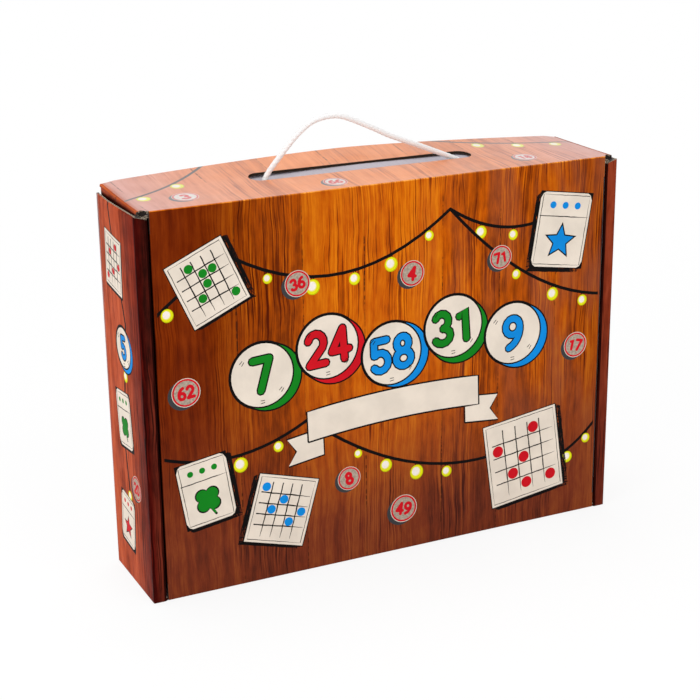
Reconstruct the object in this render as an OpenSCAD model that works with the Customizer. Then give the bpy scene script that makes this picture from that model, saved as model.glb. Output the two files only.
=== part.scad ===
// Carrying carton of a bingo game: a folded micro-corrugated case with a rope handle,
// a hinged front lid, a slotted closing flap, and the cards, discs and chips that it holds.
// Millimetres. +Z is up, -Y is the front, and the origin is the middle of the base.

/* [Carton] */
// Width of the closed carton
box_w = 320; // [290:1:380]
// Depth of the closed carton, front to back
box_d = 68; // [60:1:85]
// Height of the closed carton up to its top front fold
box_h = 240; // [215:1:290]
// Thickness of the corrugated board
board_t = 1.6; // [1.3:0.1:2]

/* [Side walls] */
// Length of the corner tabs that the double side walls trap
tab_l = 60; // [45:1:75]
// Distance that a corner tab draws in at its free end
tab_taper = 8; // [4:1:12]
// Distance from a corner tab's root to the back panel and to the lid
tab_inset = 1.5; // [1:0.5:4]
// Height of a lock tab that holds an inner side wall
lock_h = 36; // [24:1:45]
// Height of a lock tab's middle above or below the carton's middle
lock_offset = 62; // [50:1:75]
// Play around a lock tab in its slot
lock_clear = 0.2; // [0.1:0.1:0.4]
// Drop of a rolled front edge's top towards the lid
roll_drop = 2.5; // [0:0.5:4]

/* [Lid] */
// Gap between the lid's edge and the side wall
lid_gap = 1.2; // [0.8:0.1:2]
// Play between the lid and the front edge of the top wall
lid_clear = 0.4; // [0.3:0.1:0.8]
// Depth of the lid's dust flaps
dust_d = 30; // [22:1:36]
// Distance from a dust flap to the walls above and below it
dust_inset = 9; // [7:1:14]
// Corner that is cut off a dust flap
dust_cut = 9; // [5:1:14]

/* [Closing flap] */
// Gap between the flap's front fold and the top wall
flap_gap = 0.9; // [0.6:0.1:1.4]
// Rise of the flap's rear left corner above its front fold
rise_left = 3.4; // [2:0.2:4]
// Rise of the flap's rear right corner above its front fold
rise_right = 0.2; // [0:0.2:2]
// Extra rise of the bowed rear edge at its middle
flap_bow = 4.4; // [2:0.2:6]
// Depth of the notch beside the flap's front fold, where the corner's board is crushed
notch_d = 5; // [3:0.5:8]
// Drop of a side lip where it meets its ear
lip_h = 6; // [4:0.5:6.5]
// Gap between a side lip and its ear
lip_gap = 0.6; // [0.4:0.1:1]
// Length of the slot for the rope
slot_l = 150; // [140:1:175]
// Width of the slot for the rope
slot_w = 14; // [12:0.5:18]
// Distance from the carton's middle back to the slot's middle
slot_y = 4.5; // [3:0.5:6]
// Width of an ear, front to back
ear_w = 27; // [22:1:30]
// Depth of an ear below the flap
ear_h = 13; // [9:1:14]
// Corner that is cut off an ear at its front
ear_cut = 9; // [6:1:11]
// Corner that is cut off an ear at its back
ear_back_cut = 3; // [2:0.5:5]
// Distance from an ear to the back panel behind it
ear_inset = 0.6; // [0.4:0.1:2]
// Play on each side of an ear in its pocket
ear_clear = 0.8; // [0.6:0.1:1.2]
// Play between an ear and the flap above it
fold_clear = 0.1; // [0.05:0.05:0.2]

/* [Rope handle] */
// Diameter of the rope
rope_dia = 3.4; // [2.6:0.1:5]
// Play around the rope in its hole
rope_clear = 0.4; // [0.2:0.1:0.8]
// Diameter of the knot under each hole
knot_dia = 9.5; // [8:0.5:13]
// Height of a knot
knot_h = 9; // [7:0.5:12]
// Length of the rope's tail below a knot
tail_l = 11; // [6:1:16]

/* [Contents] */
// Play between neighbouring pieces of the contents
pack_clear = 0.3; // [0.2:0.1:0.6]
// Play between neighbouring cards, discs or chips of one stack
stack_clear = 0.1; // [0.05:0.05:0.2]
// Play at each end of a row of contents
side_clear = 3; // [2:0.5:5]
// Thickness of the caller's board
caller_t = 2; // [1.5:0.1:3]
// Height of the caller's board
caller_h = 194; // [160:1:196]
// Thickness of a bingo card
card_t = 1.2; // [0.8:0.1:1.5]
// Height of a bingo card
card_h = 176; // [140:1:190]
// Number of bingo cards in each of the two stacks
cards_in_stack = 12; // [6:1:14]
// Thickness of one leaf of the folded rules
leaf_t = 0.3; // [0.2:0.05:0.5]
// Gap between the two leaves of the rules
leaf_gap = 0.4; // [0.2:0.1:0.8]
// Width of the folded rules
leaf_w = 138; // [110:1:150]
// Height of the folded rules
leaf_h = 150; // [120:1:170]
// Diameter of a number disc
disc_dia = 22; // [18:0.5:26]
// Thickness of a number disc
disc_t = 2; // [1.5:0.1:2.2]
// Number of number discs
disc_count = 75; // [60:1:90]
// Wall of the cloth bag
bag_t = 1.2; // [0.8:0.1:2]
// Play around the discs in the bag
bag_clear = 1; // [0.5:0.1:2]
// Corner radius of the bag
bag_round = 4; // [3:0.5:5]
// Diameter of the bag's drawn neck
neck_dia = 18; // [14:1:22]
// Height of the bag's drawn neck
neck_h = 5; // [4:0.5:8]
// Diameter of the bag's open ruffle
ruffle_dia = 27; // [22:1:32]
// Height of the bag's ruffle
ruffle_h = 10; // [6:1:14]
// Diameter of the bag's cord
bag_cord_dia = 2.4; // [1.6:0.2:3]
// Diameter of the knot in the bag's cord
bag_knot_dia = 6; // [5:0.5:8]
// Diameter of a marker chip
chip_dia = 15; // [12:0.5:18]
// Thickness of a marker chip
chip_t = 1.5; // [1:0.1:1.8]
// Number of chips of each colour
chips_per_colour = 20; // [10:1:24]
// Film thickness of the chip bag
film_t = 0.5; // [0.4:0.1:0.8]
// Height of the chip bag's flat zip edge
zip_h = 14; // [8:1:20]
// Thickness of the chip bag's flat zip edge
zip_t = 1.2; // [0.8:0.1:2]

/* [Hidden] */

// Facets of a round edge
$fn = 48;
// Overrun of every cut
cut_run = 1;
// Half sizes of the closed carton
half_w = box_w / 2;
half_d = box_d / 2;

// A side wall from outside in: outer board, play, ear, play, corner tab, inner board
side_t = 4 * board_t + 2 * ear_clear;
// Outer face of an ear, of a corner tab and of an inner wall, measured from the middle
ear_x = half_w - board_t - ear_clear;
tab_x = half_w - side_t + 2 * board_t;
inner_x = half_w - side_t + board_t;
// Inner face of a side wall
room_x = half_w - side_t;
// Top of the tray's walls and underside of its top wall
wall_top = box_h - board_t - flap_gap;
wall_under = wall_top - board_t;
// Inner faces of the lid and of the back panel
lid_in = -half_d + board_t;
back_in = half_d - board_t;
// Edge of the lid
lid_x = room_x - lid_gap;

// Columns of flat strips across the bowed flap, and the power of its bow
flap_cols = 24;
bow_power = 2.2;
// Back and front end of an ear
ear_back = back_in - ear_inset;
ear_front = ear_back - ear_w;
// Height of the flap above its front fold, at a place across and a place back
function rise_at(x) = rise_right + (rise_left - rise_right) * (ear_x - x) / (2 * ear_x)
    + flap_bow * (1 - pow(abs(x) / ear_x, bow_power));
function flap_z(x, y) = box_h + rise_at(x) * (y + half_d) / box_d;

// Route of the rope's middle from knot to knot, chosen by hand from the photographed arch
rope_y = 0.7;
rope_route = [[-67, 235.9], [-67, 239], [-65.5, 243.5], [-61.5, 249], [-57, 254], [-51, 260.5],
              [-45, 266.5], [-36, 273], [-27, 275.5], [-18, 275.5], [-9, 272.5], [5, 266],
              [15, 261], [24, 257.2], [35, 252.8], [45, 248.6], [54, 244.8], [60.5, 242],
              [65, 239.8], [67, 237.9], [67, 235.9]];
rope_sides = 10;
rope_last = len(rope_route) - 1;
// The two places where the rope passes through the top wall
hole_xs = [rope_route[0][0], rope_route[rope_last][0]];

// Layers of the contents, from the back panel forwards
caller_front = back_in - pack_clear - caller_t;
card_back = caller_front - pack_clear;
card_step = card_t + stack_clear;
card_front = card_back - cards_in_stack * card_step;
leaf_back = card_front - pack_clear;
leaf_front = leaf_back - 2 * leaf_t - leaf_gap;
bag_back = leaf_front - pack_clear;
// A card is half of the row between the side walls, less the play
card_w = room_x - 1.5 * side_clear;
// The disc bag holds two rolls of discs, one on the other
roll_count = ceil(disc_count / 2);
disc_step = disc_t + stack_clear;
bag_in_l = roll_count * disc_step + 2 * bag_clear;
bag_in_d = disc_dia + 2 * bag_clear;
bag_in_h = 2 * (disc_dia + stack_clear) + bag_clear;
bag_l = bag_in_l + 2 * bag_t;
bag_d = bag_in_d + 2 * bag_t;
bag_h = bag_in_h + 2 * bag_t;
bag_mid_x = -side_clear - bag_l / 2;
bag_mid_y = bag_back - bag_d / 2;
bag_floor = board_t + bag_t;
// The chip bag holds the three rolls of chips end to end
chip_step = chip_t + stack_clear;
chip_roll_l = chips_per_colour * chip_step;
chip_in_l = 3 * chip_roll_l + 2 * bag_clear;
chip_in_d = chip_dia + 2 * pack_clear;
chip_in_h = chip_dia + pack_clear;
chip_l = chip_in_l + 2 * film_t;
chip_d = chip_in_d + 2 * film_t;
chip_h = chip_in_h + 2 * film_t;
chip_mid_x = side_clear + chip_l / 2;
chip_mid_y = bag_back - chip_d / 2;
chip_floor = board_t + film_t;

// Colours of the printed outside, the unprinted board and the small pieces
wood_print = [0.62, 0.28, 0.12];
side_print = [0.52, 0.22, 0.14];
top_print = [0.80, 0.55, 0.45];
plain_board = [0.72, 0.69, 0.66];

// Draws its children as they are on the left, and mirrored on the right
module on_side(side) {
    mirror([side == "right" ? 1 : 0, 0, 0])
        children();
}

// A block from one corner to the opposite one
module block(low, high) {
    translate(low)
        cube(high - low);
}

// A plate of board that stands along Y, from an outline of places back and up
module side_plate(outline, x, thick) {
    translate([x, 0, 0])
        rotate([90, 0, 90])
            linear_extrude(thick)
                polygon(outline);
}

// A flat block with round upright edges, by its middle, and its size
module round_block(mid_x, mid_y, low_z, long, deep, high, round) {
    translate([mid_x, mid_y, low_z])
        linear_extrude(high)
            union() {
                square([long - 2 * round, deep], center = true);
                square([long, deep - 2 * round], center = true);
                for (sx = [-1, 1], sy = [-1, 1])
                    translate([sx * (long / 2 - round), sy * (deep / 2 - round)])
                        circle(r = round);
            }
}

module back_panel() {
    color(side_print)
        difference() {
            block([-half_w + board_t, back_in, board_t], [half_w - board_t, half_d, wall_under]);
            for (side = ["left", "right"], up = [-1, 1])
                on_side(side)
                    block([-inner_x - lock_clear, back_in - cut_run,
                           box_h / 2 + up * lock_offset - lock_h / 2 - lock_clear],
                          [-room_x + lock_clear, half_d + cut_run,
                           box_h / 2 + up * lock_offset + lock_h / 2 + lock_clear]);
        }
}

module bottom_wall() {
    color(side_print)
        block([-tab_x, lid_in, 0], [tab_x, half_d, board_t]);
}

module top_wall() {
    color(plain_board)
        difference() {
            block([-tab_x, lid_in + lid_clear, wall_under], [tab_x, half_d, wall_top]);
            for (x = hole_xs)
                translate([x, rope_y, wall_under - cut_run])
                    cylinder(h = board_t + 2 * cut_run, d = rope_dia + 2 * rope_clear);
        }
}

module outer_wall(side) {
    color(side_print)
        on_side(side)
            block([-half_w, lid_in, 0], [-half_w + board_t, half_d, wall_top]);
}

// The strip beside the lid, whose top slants down towards the lid
module rolled_edge(side) {
    color(side_print)
        on_side(side)
            translate([0, lid_in, 0])
                rotate([90, 0, 0])
                    linear_extrude(board_t)
                        polygon([[-half_w, 0], [-room_x, 0], [-room_x, wall_top - roll_drop],
                                 [-half_w, wall_top]]);
}

module inner_wall(side) {
    color(plain_board)
        on_side(side)
            union() {
                block([-inner_x, lid_in, board_t], [-room_x, back_in, wall_under]);
                for (up = [-1, 1])
                    block([-inner_x, back_in - board_t, box_h / 2 + up * lock_offset - lock_h / 2],
                          [-room_x, half_d, box_h / 2 + up * lock_offset + lock_h / 2]);
            }
}

// A corner tab from its root at a height, up or down by its length
module corner_tab(side, root_z, way) {
    y_front = lid_in + tab_inset;
    y_back = back_in - tab_inset;
    end_z = root_z + way * tab_l;
    color(plain_board)
        on_side(side)
            side_plate([[y_front, root_z], [y_back, root_z],
                        [y_back - tab_taper, end_z], [y_front + tab_taper, end_z]],
                       -tab_x, board_t);
}

module lid_panel() {
    color(wood_print)
        block([-lid_x, -half_d, 0], [lid_x, lid_in, box_h - board_t]);
}

module dust_flap(side) {
    y_end = lid_in + dust_d;
    low = board_t + dust_inset;
    high = wall_under - dust_inset;
    color(plain_board)
        on_side(side)
            side_plate([[lid_in, low], [y_end - dust_cut, low], [y_end, low + dust_cut],
                        [y_end, high - dust_cut], [y_end - dust_cut, high], [lid_in, high]],
                       -lid_x, board_t);
}

// The bowed sheet of the closing flap, before its outline and slot are cut
module flap_sheet() {
    // Each column has four corners: top front, top back, bottom front, bottom back
    pts = [for (i = [0 : flap_cols], drop = [0, board_t], y = [-half_d, half_d])
               let (x = ear_x * (2 * i / flap_cols - 1))
                   [x, y, flap_z(x, y) - drop]];
    last = 4 * flap_cols;
    strips = [for (i = [0 : flap_cols - 1])
                  let (a = 4 * i, b = 4 * i + 4)
                      each [[a, a + 1, b + 1], [a, b + 1, b],
                            [a + 2, b + 2, b + 3], [a + 2, b + 3, a + 3],
                            [a, b, b + 2], [a, b + 2, a + 2],
                            [a + 1, a + 3, b + 3], [a + 1, b + 3, b + 1]]];
    ends = [[0, 2, 3], [0, 3, 1], [last, last + 1, last + 3], [last, last + 3, last + 2]];
    polyhedron(pts, concat(strips, ends));
}

// A block over the notch in the flap's front left corner
module notch_cut() {
    block([-ear_x - cut_run, -half_d - cut_run, 0], [-lid_x, -half_d + notch_d, 2 * box_h]);
}

module closing_flap() {
    slot_end = (slot_l - slot_w) / 2;
    color(top_print)
        difference() {
            flap_sheet();
            for (side = ["left", "right"])
                on_side(side)
                    notch_cut();
            linear_extrude(2 * box_h)
                union() {
                    translate([0, slot_y])
                        square([2 * slot_end, slot_w], center = true);
                    for (x = [-slot_end, slot_end])
                        translate([x, slot_y])
                            circle(d = slot_w);
                }
        }
}

// Height just under the flap's edge, at a place back
function under_edge(rise, y) = box_h + rise * (y + half_d) / box_d - board_t - fold_clear;

// The flap's side in front of an ear, folded down and tapered to nothing at the notch
module lip(side, rise) {
    y_front = -half_d + notch_d;
    y_back = ear_front - lip_gap;
    color(side_print)
        on_side(side)
            side_plate([[y_front, under_edge(rise, y_front)],
                        [y_back, under_edge(rise, y_back) - lip_h],
                        [y_back, under_edge(rise, y_back)]],
                       -ear_x, board_t);
}

module ear(side, rise) {
    end_z = box_h - board_t - ear_h;
    color(side_print)
        on_side(side)
            side_plate([[ear_front, under_edge(rise, ear_front)], [ear_front, end_z + ear_cut],
                        [ear_front + ear_cut, end_z], [ear_back - ear_back_cut, end_z],
                        [ear_back, end_z + ear_back_cut],
                        [ear_back, under_edge(rise, ear_back)]],
                       -ear_x, board_t);
}

// A tube along the rope's route, with one ring of points at each of the route's points
module rope_handle() {
    radius = rope_dia / 2;
    pts = [for (i = [0 : rope_last], j = [0 : rope_sides - 1])
               let (along = rope_route[min(i + 1, rope_last)] - rope_route[max(i - 1, 0)],
                    across = [-along[1], along[0]] / norm(along),
                    turn = 360 * j / rope_sides)
                   [rope_route[i][0] + radius * cos(turn) * across[0],
                    rope_y + radius * sin(turn),
                    rope_route[i][1] + radius * cos(turn) * across[1]]];
    walls = [for (i = [0 : rope_last - 1], j = [0 : rope_sides - 1])
                 let (a = i * rope_sides + j,
                      b = i * rope_sides + (j + 1) % rope_sides)
                     each [[a, b, b + rope_sides], [a, b + rope_sides, a + rope_sides]]];
    caps = [[for (j = [rope_sides - 1 : -1 : 0]) j],
            [for (j = [0 : rope_sides - 1]) rope_last * rope_sides + j]];
    color("white")
        polyhedron(pts, concat(walls, caps));
}

module rope_knots() {
    color("white")
        for (x = hole_xs)
            translate([x, rope_y, wall_under - knot_h])
                union() {
                    cylinder(h = knot_h, d = knot_dia);
                    translate([0, 0, -tail_l])
                        cylinder(h = tail_l + cut_run, d = rope_dia);
                }
}

module caller_board() {
    color("tan")
        block([-room_x + side_clear, caller_front, board_t],
              [room_x - side_clear, caller_front + caller_t, board_t + caller_h]);
}

module bingo_cards() {
    color("ivory")
        for (side = ["left", "right"], i = [0 : cards_in_stack - 1])
            on_side(side)
                block([-room_x + side_clear, card_front + i * card_step, board_t],
                      [-room_x + side_clear + card_w, card_front + i * card_step + card_t,
                       board_t + card_h]);
}

module rules_leaflet() {
    color("white")
        difference() {
            block([-leaf_w / 2, leaf_front, board_t], [leaf_w / 2, leaf_back, board_t + leaf_h]);
            block([-leaf_w / 2 + leaf_t, leaf_front + leaf_t, board_t - cut_run],
                  [leaf_w / 2 + cut_run, leaf_back - leaf_t, board_t + leaf_h + cut_run]);
        }
}

module disc_bag() {
    color("darkred")
        difference() {
            union() {
                round_block(bag_mid_x, bag_mid_y, board_t, bag_l, bag_d, bag_h, bag_round);
                translate([bag_mid_x, bag_mid_y, board_t + bag_h]) {
                    cylinder(h = neck_h, d = neck_dia);
                    translate([0, 0, neck_h])
                        cylinder(h = ruffle_h, d1 = neck_dia, d2 = ruffle_dia);
                }
            }
            round_block(bag_mid_x, bag_mid_y, bag_floor, bag_in_l, bag_in_d, bag_in_h,
                        bag_round - bag_t);
        }
}

module bag_cord() {
    color("ivory")
        translate([bag_mid_x, bag_mid_y, board_t + bag_h])
            union() {
                translate([0, 0, neck_h / 2])
                    rotate_extrude()
                        translate([(neck_dia + bag_cord_dia) / 2 + stack_clear, 0])
                            circle(d = bag_cord_dia, $fn = 24);
                translate([0, -(neck_dia + bag_cord_dia + bag_knot_dia) / 2,
                           bag_knot_dia / 2 + stack_clear])
                    rotate([0, 90, 0])
                        cylinder(h = 2 * bag_cord_dia, d = bag_knot_dia, center = true);
            }
}

// A roll of round pieces along X, a small play apart
module roll(count, dia, thick, low_x, mid_y, mid_z) {
    for (i = [0 : count - 1])
        translate([low_x + i * (thick + stack_clear), mid_y, mid_z])
            rotate([0, 90, 0])
                cylinder(h = thick, d = dia);
}

module number_discs() {
    low_x = bag_mid_x - roll_count * disc_step / 2;
    low_z = bag_floor + stack_clear + disc_dia / 2;
    color("lightgray") {
        roll(roll_count, disc_dia, disc_t, low_x, bag_mid_y, low_z);
        roll(disc_count - roll_count, disc_dia, disc_t, low_x, bag_mid_y,
             low_z + disc_dia + stack_clear);
    }
}

module chip_bag() {
    color("azure", 0.4)
        difference() {
            union() {
                round_block(chip_mid_x, chip_mid_y, board_t, chip_l, chip_d, chip_h, film_t * 4);
                block([chip_mid_x - chip_l / 2, chip_mid_y - zip_t / 2, board_t + chip_h],
                      [chip_mid_x + chip_l / 2, chip_mid_y + zip_t / 2,
                       board_t + chip_h + zip_h]);
            }
            block([chip_mid_x - chip_in_l / 2, chip_mid_y - chip_in_d / 2, chip_floor],
                  [chip_mid_x + chip_in_l / 2, chip_mid_y + chip_in_d / 2,
                   chip_floor + chip_in_h]);
        }
}

// One colour's roll of chips, in its place along the chip bag
module chip_roll(place) {
    roll(chips_per_colour, chip_dia, chip_t,
         chip_mid_x + (place - 1.5) * chip_roll_l, chip_mid_y,
         chip_floor + stack_clear + chip_dia / 2);
}

back_panel();
bottom_wall();
top_wall();
outer_wall("left");  // left_outer_wall
outer_wall("right");  // right_outer_wall
rolled_edge("left");  // left_rolled_edge
rolled_edge("right");  // right_rolled_edge
inner_wall("left");  // left_inner_wall
inner_wall("right");  // right_inner_wall
corner_tab("left", wall_under, -1);  // left_top_tab
corner_tab("right", wall_under, -1);  // right_top_tab
corner_tab("left", board_t, 1);  // left_bottom_tab
corner_tab("right", board_t, 1);  // right_bottom_tab
lid_panel();
dust_flap("left");  // left_dust_flap
dust_flap("right");  // right_dust_flap
closing_flap();
lip("left", rise_left);  // left_lip
lip("right", rise_right);  // right_lip
ear("left", rise_left);  // left_ear
ear("right", rise_right);  // right_ear
rope_handle();
rope_knots();
caller_board();
bingo_cards();
rules_leaflet();
disc_bag();
bag_cord();
number_discs();
chip_bag();
color("red") chip_roll(0);  // red_chips
color("green") chip_roll(1);  // green_chips
color("blue") chip_roll(2);  // blue_chips
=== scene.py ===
import math

import bpy
import numpy as np
from mathutils import Matrix, Vector
from mathutils.geometry import delaunay_2d_cdt


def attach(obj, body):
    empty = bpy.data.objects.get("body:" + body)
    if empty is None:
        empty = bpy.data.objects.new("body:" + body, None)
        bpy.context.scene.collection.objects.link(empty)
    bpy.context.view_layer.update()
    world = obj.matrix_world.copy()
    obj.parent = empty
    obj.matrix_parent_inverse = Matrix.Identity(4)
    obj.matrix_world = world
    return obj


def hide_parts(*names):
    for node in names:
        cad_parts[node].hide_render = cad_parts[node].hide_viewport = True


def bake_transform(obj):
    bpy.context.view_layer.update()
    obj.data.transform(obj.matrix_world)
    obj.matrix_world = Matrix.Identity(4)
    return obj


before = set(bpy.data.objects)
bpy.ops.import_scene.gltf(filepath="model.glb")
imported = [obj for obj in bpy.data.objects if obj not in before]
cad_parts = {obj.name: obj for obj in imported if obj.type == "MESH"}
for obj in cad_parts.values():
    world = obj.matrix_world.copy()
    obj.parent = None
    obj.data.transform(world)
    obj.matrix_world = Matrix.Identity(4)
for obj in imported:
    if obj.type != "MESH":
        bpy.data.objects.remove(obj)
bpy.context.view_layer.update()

MM = 0.001

# Sizes of the carton, as in the part's source
HALF_W = 160
HALF_D = 34
BOX_H = 240
BOARD = 1.6
# Faces of a side wall's layers, from the ear inward to the lid's side edge
EAR_X = 157.6
TAB_X = 155.2
INNER_X = 153.6
ROOM_X = 152
LID_X = 150.8
WALL_TOP = 237.5
WALL_UNDER = WALL_TOP - BOARD
LID_IN = -HALF_D + BOARD
BACK_IN = HALF_D - BOARD
LID_TOP = BOX_H - BOARD
EAR_FRONT = 4.8
EAR_BACK = 31.8
EAR_LOW = 225.4
EAR_CUT = 9
EAR_NIP = 3
# Play between the flap's underside and the tops of its ears and lips
EAR_PLAY = 0.1
DUST_LOW = 10.6
DUST_HIGH = 226.9
DUST_END = -2.4
DUST_CUT = 9
# How much thinner a dust flap is, to clear the lid's inner face when it is folded
DUST_THIN = 0.06
# How far the flap's back corners stand up, and how far its back edge bows up between them
RISE_LEFT = 3.2
RISE_RIGHT = 0.6
FLAP_BOW = 6.5
BOW_POWER = 1.5
# The flap's ends droop softly into the ear folds
DROOP = 1.2
LIP_FRONT = -HALF_D + 3.2
LIP_BACK = EAR_FRONT - 0.6
LIP_DROP = 6
SLOT_L = 150
SLOT_W = 14
SLOT_Y = 4.5
# The lock tabs of the inner walls: their middles and half of their length
LOCK_MIDDLES = (BOX_H / 2 - 62, BOX_H / 2 + 62)
LOCK_HALF = 18
# Outward swell of a side wall near its top, where an ear is tucked behind it
SWELL = 1.3
SWELL_FROM = 140
SWELL_MIDDLE = 0.8
SWELL_HALF = 33.2
# The band under a side wall's upper cut edge that the die crushed, its shift inward and its thinning
PINCH_BAND = 1.6
PINCH_IN = 0.30
PINCH_THIN = 0.35
# How far the slack top wall stands up in its middle, under the slot
BULGE = 4.7
# Slant of the rolled edges' tops, from the outer wall down to the lid
ROLL_DROP = 2.5
# Where the flap's ends begin to droop, and the front edge of the top wall
DROOP_X = 149
TOP_WALL_FRONT = -32
# Steps round a crease
CREASE_STEPS = 8
SIDES = ((-1, "left"), (1, "right"))
X_WAY = Vector((1, 0, 0))
Y_WAY = Vector((0, 1, 0))
Z_WAY = Vector((0, 0, 1))


# Camera, fitted to the photograph's corners: degrees and metres

CAMERA_PLACE = (-0.4376, -0.8932, 0.4619)
CAMERA_TURNS = (-25.467, 18.706, -0.689)
CAMERA_LENS = 85.62


def add_object(name, data):
    made = bpy.data.objects.new(name, data)
    bpy.context.scene.collection.objects.link(made)
    return made


def make_camera():
    azimuth, elevation, roll = (math.radians(angle) for angle in CAMERA_TURNS)
    right = Vector((math.cos(azimuth), math.sin(azimuth), 0))
    back = Vector((math.sin(azimuth) * math.cos(elevation),
                   -math.cos(azimuth) * math.cos(elevation),
                   math.sin(elevation)))
    up = back.cross(right)
    across = math.cos(roll) * right + math.sin(roll) * up
    upward = -math.sin(roll) * right + math.cos(roll) * up
    data = bpy.data.cameras.new("camera")
    data.sensor_width = 36
    data.lens = CAMERA_LENS
    data.clip_start = 0.05
    camera = add_object("camera", data)
    turn = Matrix((across, upward, back)).transposed().to_4x4()
    camera.matrix_world = Matrix.Translation(CAMERA_PLACE) @ turn
    bpy.context.scene.camera = camera


# Building meshes

class Piece:
    """A mesh under construction: corners in millimetres, faces with a material and their UVs."""

    def __init__(self):
        self.verts = []
        self.faces = []
        self.mats = []
        self.slots = []
        self.uvs = []

    def slot_of(self, mat):
        if mat not in self.mats:
            self.mats.append(mat)
        return self.mats.index(mat)

    def corner(self, point):
        self.verts.append(tuple(point))
        return len(self.verts) - 1

    def face(self, corners, mat, uvs):
        self.faces.append(tuple(corners))
        self.slots.append(self.slot_of(mat))
        self.uvs.extend(uvs)

    def grid(self, rows, mat, uv_size=(1.0, 1.0)):
        """Joins closed rows of points by quads, with a cap on the first and on the last."""
        ids = [[self.corner(p) for p in row] for row in rows]
        count = len(ids[0])
        for i in range(len(ids) - 1):
            for j in range(count):
                k = (j + 1) % count
                spots = ((i, j), (i, j + 1), (i + 1, j + 1), (i + 1, j))
                uvs = [(b * uv_size[0], a * uv_size[1]) for a, b in spots]
                self.face((ids[i][j], ids[i][k], ids[i + 1][k], ids[i + 1][j]), mat, uvs)
        flat = [(0.0, 0.0)] * count
        self.face(ids[0][::-1], mat, flat)
        self.face(ids[-1], mat, flat)

    def done(self, name, body, replaces=(), smooth=35, ride=True):
        mesh = bpy.data.meshes.new(name)
        mesh.from_pydata([[c * MM for c in v] for v in self.verts], [], self.faces)
        for mat in self.mats:
            mesh.materials.append(MATERIALS[mat])
        mesh.polygons.foreach_set("material_index", self.slots)
        layer = mesh.uv_layers.new(name="print")
        layer.data.foreach_set("uv", [c * MM for pair in self.uvs for c in pair])
        mesh.polygons.foreach_set("use_smooth", [True] * len(self.faces))
        mesh.set_sharp_from_angle(angle=math.radians(smooth))
        mesh.validate()
        piece = add_object(name, mesh)
        if ride:
            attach(piece, body)
        if replaces:
            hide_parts(*replaces)
        return piece


def inside(loops, points):
    """Which points lie inside the loops, by winding number."""
    wind = np.zeros(len(points), int)
    x, y = points[:, 0], points[:, 1]
    for loop in loops:
        for (ax, ay), (bx, by) in zip(loop, loop[1:] + loop[:1]):
            side = (bx - ax) * (y - ay) - (x - ax) * (by - ay)
            wind += ((ay <= y) & (by > y) & (side > 0)).astype(int)
            wind -= ((ay > y) & (by <= y) & (side < 0)).astype(int)
    return wind != 0


def paint(points, layers):
    """The last layer that covers each point, as an index, or -1."""
    found = np.full(len(points), -1)
    for index, (_, loops) in enumerate(layers):
        flat = np.array([p for loop in loops for p in loop])
        near = np.all((points >= flat.min(0)) & (points <= flat.max(0)), axis=1)
        spots = np.nonzero(near)[0]
        found[spots[inside(loops, points[spots])]] = index
    return found


def triangles_of(outline, holes, layers, grid):
    """Triangles that fill the outline and follow every edge of the artwork."""
    points = []
    edges = []
    for loop in [outline, *holes, *[loop for _, loops in layers for loop in loops]]:
        first = len(points)
        points.extend(loop)
        edges.extend((first + i, first + (i + 1) % len(loop)) for i in range(len(loop)))
    points.extend(grid)
    verts, _, tris, *_ = delaunay_2d_cdt([Vector(p) for p in points], edges, [], 0, 1e-5)
    verts = np.array([tuple(v) for v in verts])
    tris = np.array([tuple(t) for t in tris])
    a, b, c = verts[tris[:, 0]], verts[tris[:, 1]], verts[tris[:, 2]]
    middles = (a + b + c) / 3
    keep = inside([outline], middles)
    if holes:
        keep &= ~inside(holes, middles)
    return verts, tris[keep], paint(middles[keep], layers)


def rim_of(tris):
    """The border as loops of corners, each in order."""
    edges = {(t[i], t[(i + 1) % 3]) for t in tris.tolist() for i in range(3)}
    following = {a: b for a, b in edges if (b, a) not in edges}
    loops = []
    while following:
        loop = []
        here = next(iter(following))
        while here in following:
            loop.append(here)
            here = following.pop(here)
        loops.append(loop)
    return loops


def add_plate(piece, outline, place, layers=(), holes=(), grid=(), face="wood_front",
              back="liner", edge="raw_edge", hole_edge="raw_edge", uv_at=(0, 0)):
    """Adds a sheet of board. place(u, v, depth) gives a point, with depth 0 in front and 1 behind."""
    verts, tris, inks = triangles_of(outline, holes, layers, grid)
    used = sorted(set(tris.ravel().tolist()))
    front = {i: piece.corner(place(*verts[i], 0)) for i in used}
    rear = {i: piece.corner(place(*verts[i], 1)) for i in used}
    for tri, found in zip(tris.tolist(), inks.tolist()):
        mat = layers[found][0] if found >= 0 else face
        uvs = [(verts[i][0] + uv_at[0], verts[i][1] + uv_at[1]) for i in tri]
        piece.face([front[i] for i in tri], mat, uvs)
        piece.face([rear[i] for i in tri[::-1]], back, uvs[::-1])
    for loop in rim_of(tris):
        run = 0.0
        near = [math.dist(verts[loop[0]], spot) for hole in holes for spot in hole]
        mat = hole_edge if near and min(near) < 0.01 else edge
        for a, b in zip(loop, loop[1:] + loop[:1]):
            further = run + math.dist(verts[a], verts[b])
            uvs = [(run, 0), (run, 1), (further, 1), (further, 0)]
            piece.face((front[a], rear[a], rear[b], front[b]), mat, uvs)
            run = further


def board(name, body, slot, outline, place, **more):
    """A panel of board, in the place of the CAD node of its name."""
    piece = Piece()
    add_plate(piece, outline, place, **more)
    piece.done(name + "_board", body, replaces=(name,))


def turned(middle, start_deg, turn_deg, first, second):
    """Points of a tight crease round its inner corner: a quarter round, squarer than a circle."""
    points = []
    for i in range(CREASE_STEPS + 1):
        angle = math.radians(start_deg + turn_deg * i / CREASE_STEPS)
        c, s = math.cos(angle), math.sin(angle)
        reach = BOARD * (abs(c) ** 5 + abs(s) ** 5) ** -0.2
        points.append(middle + reach * (c * first + s * second))
    return points


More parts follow.
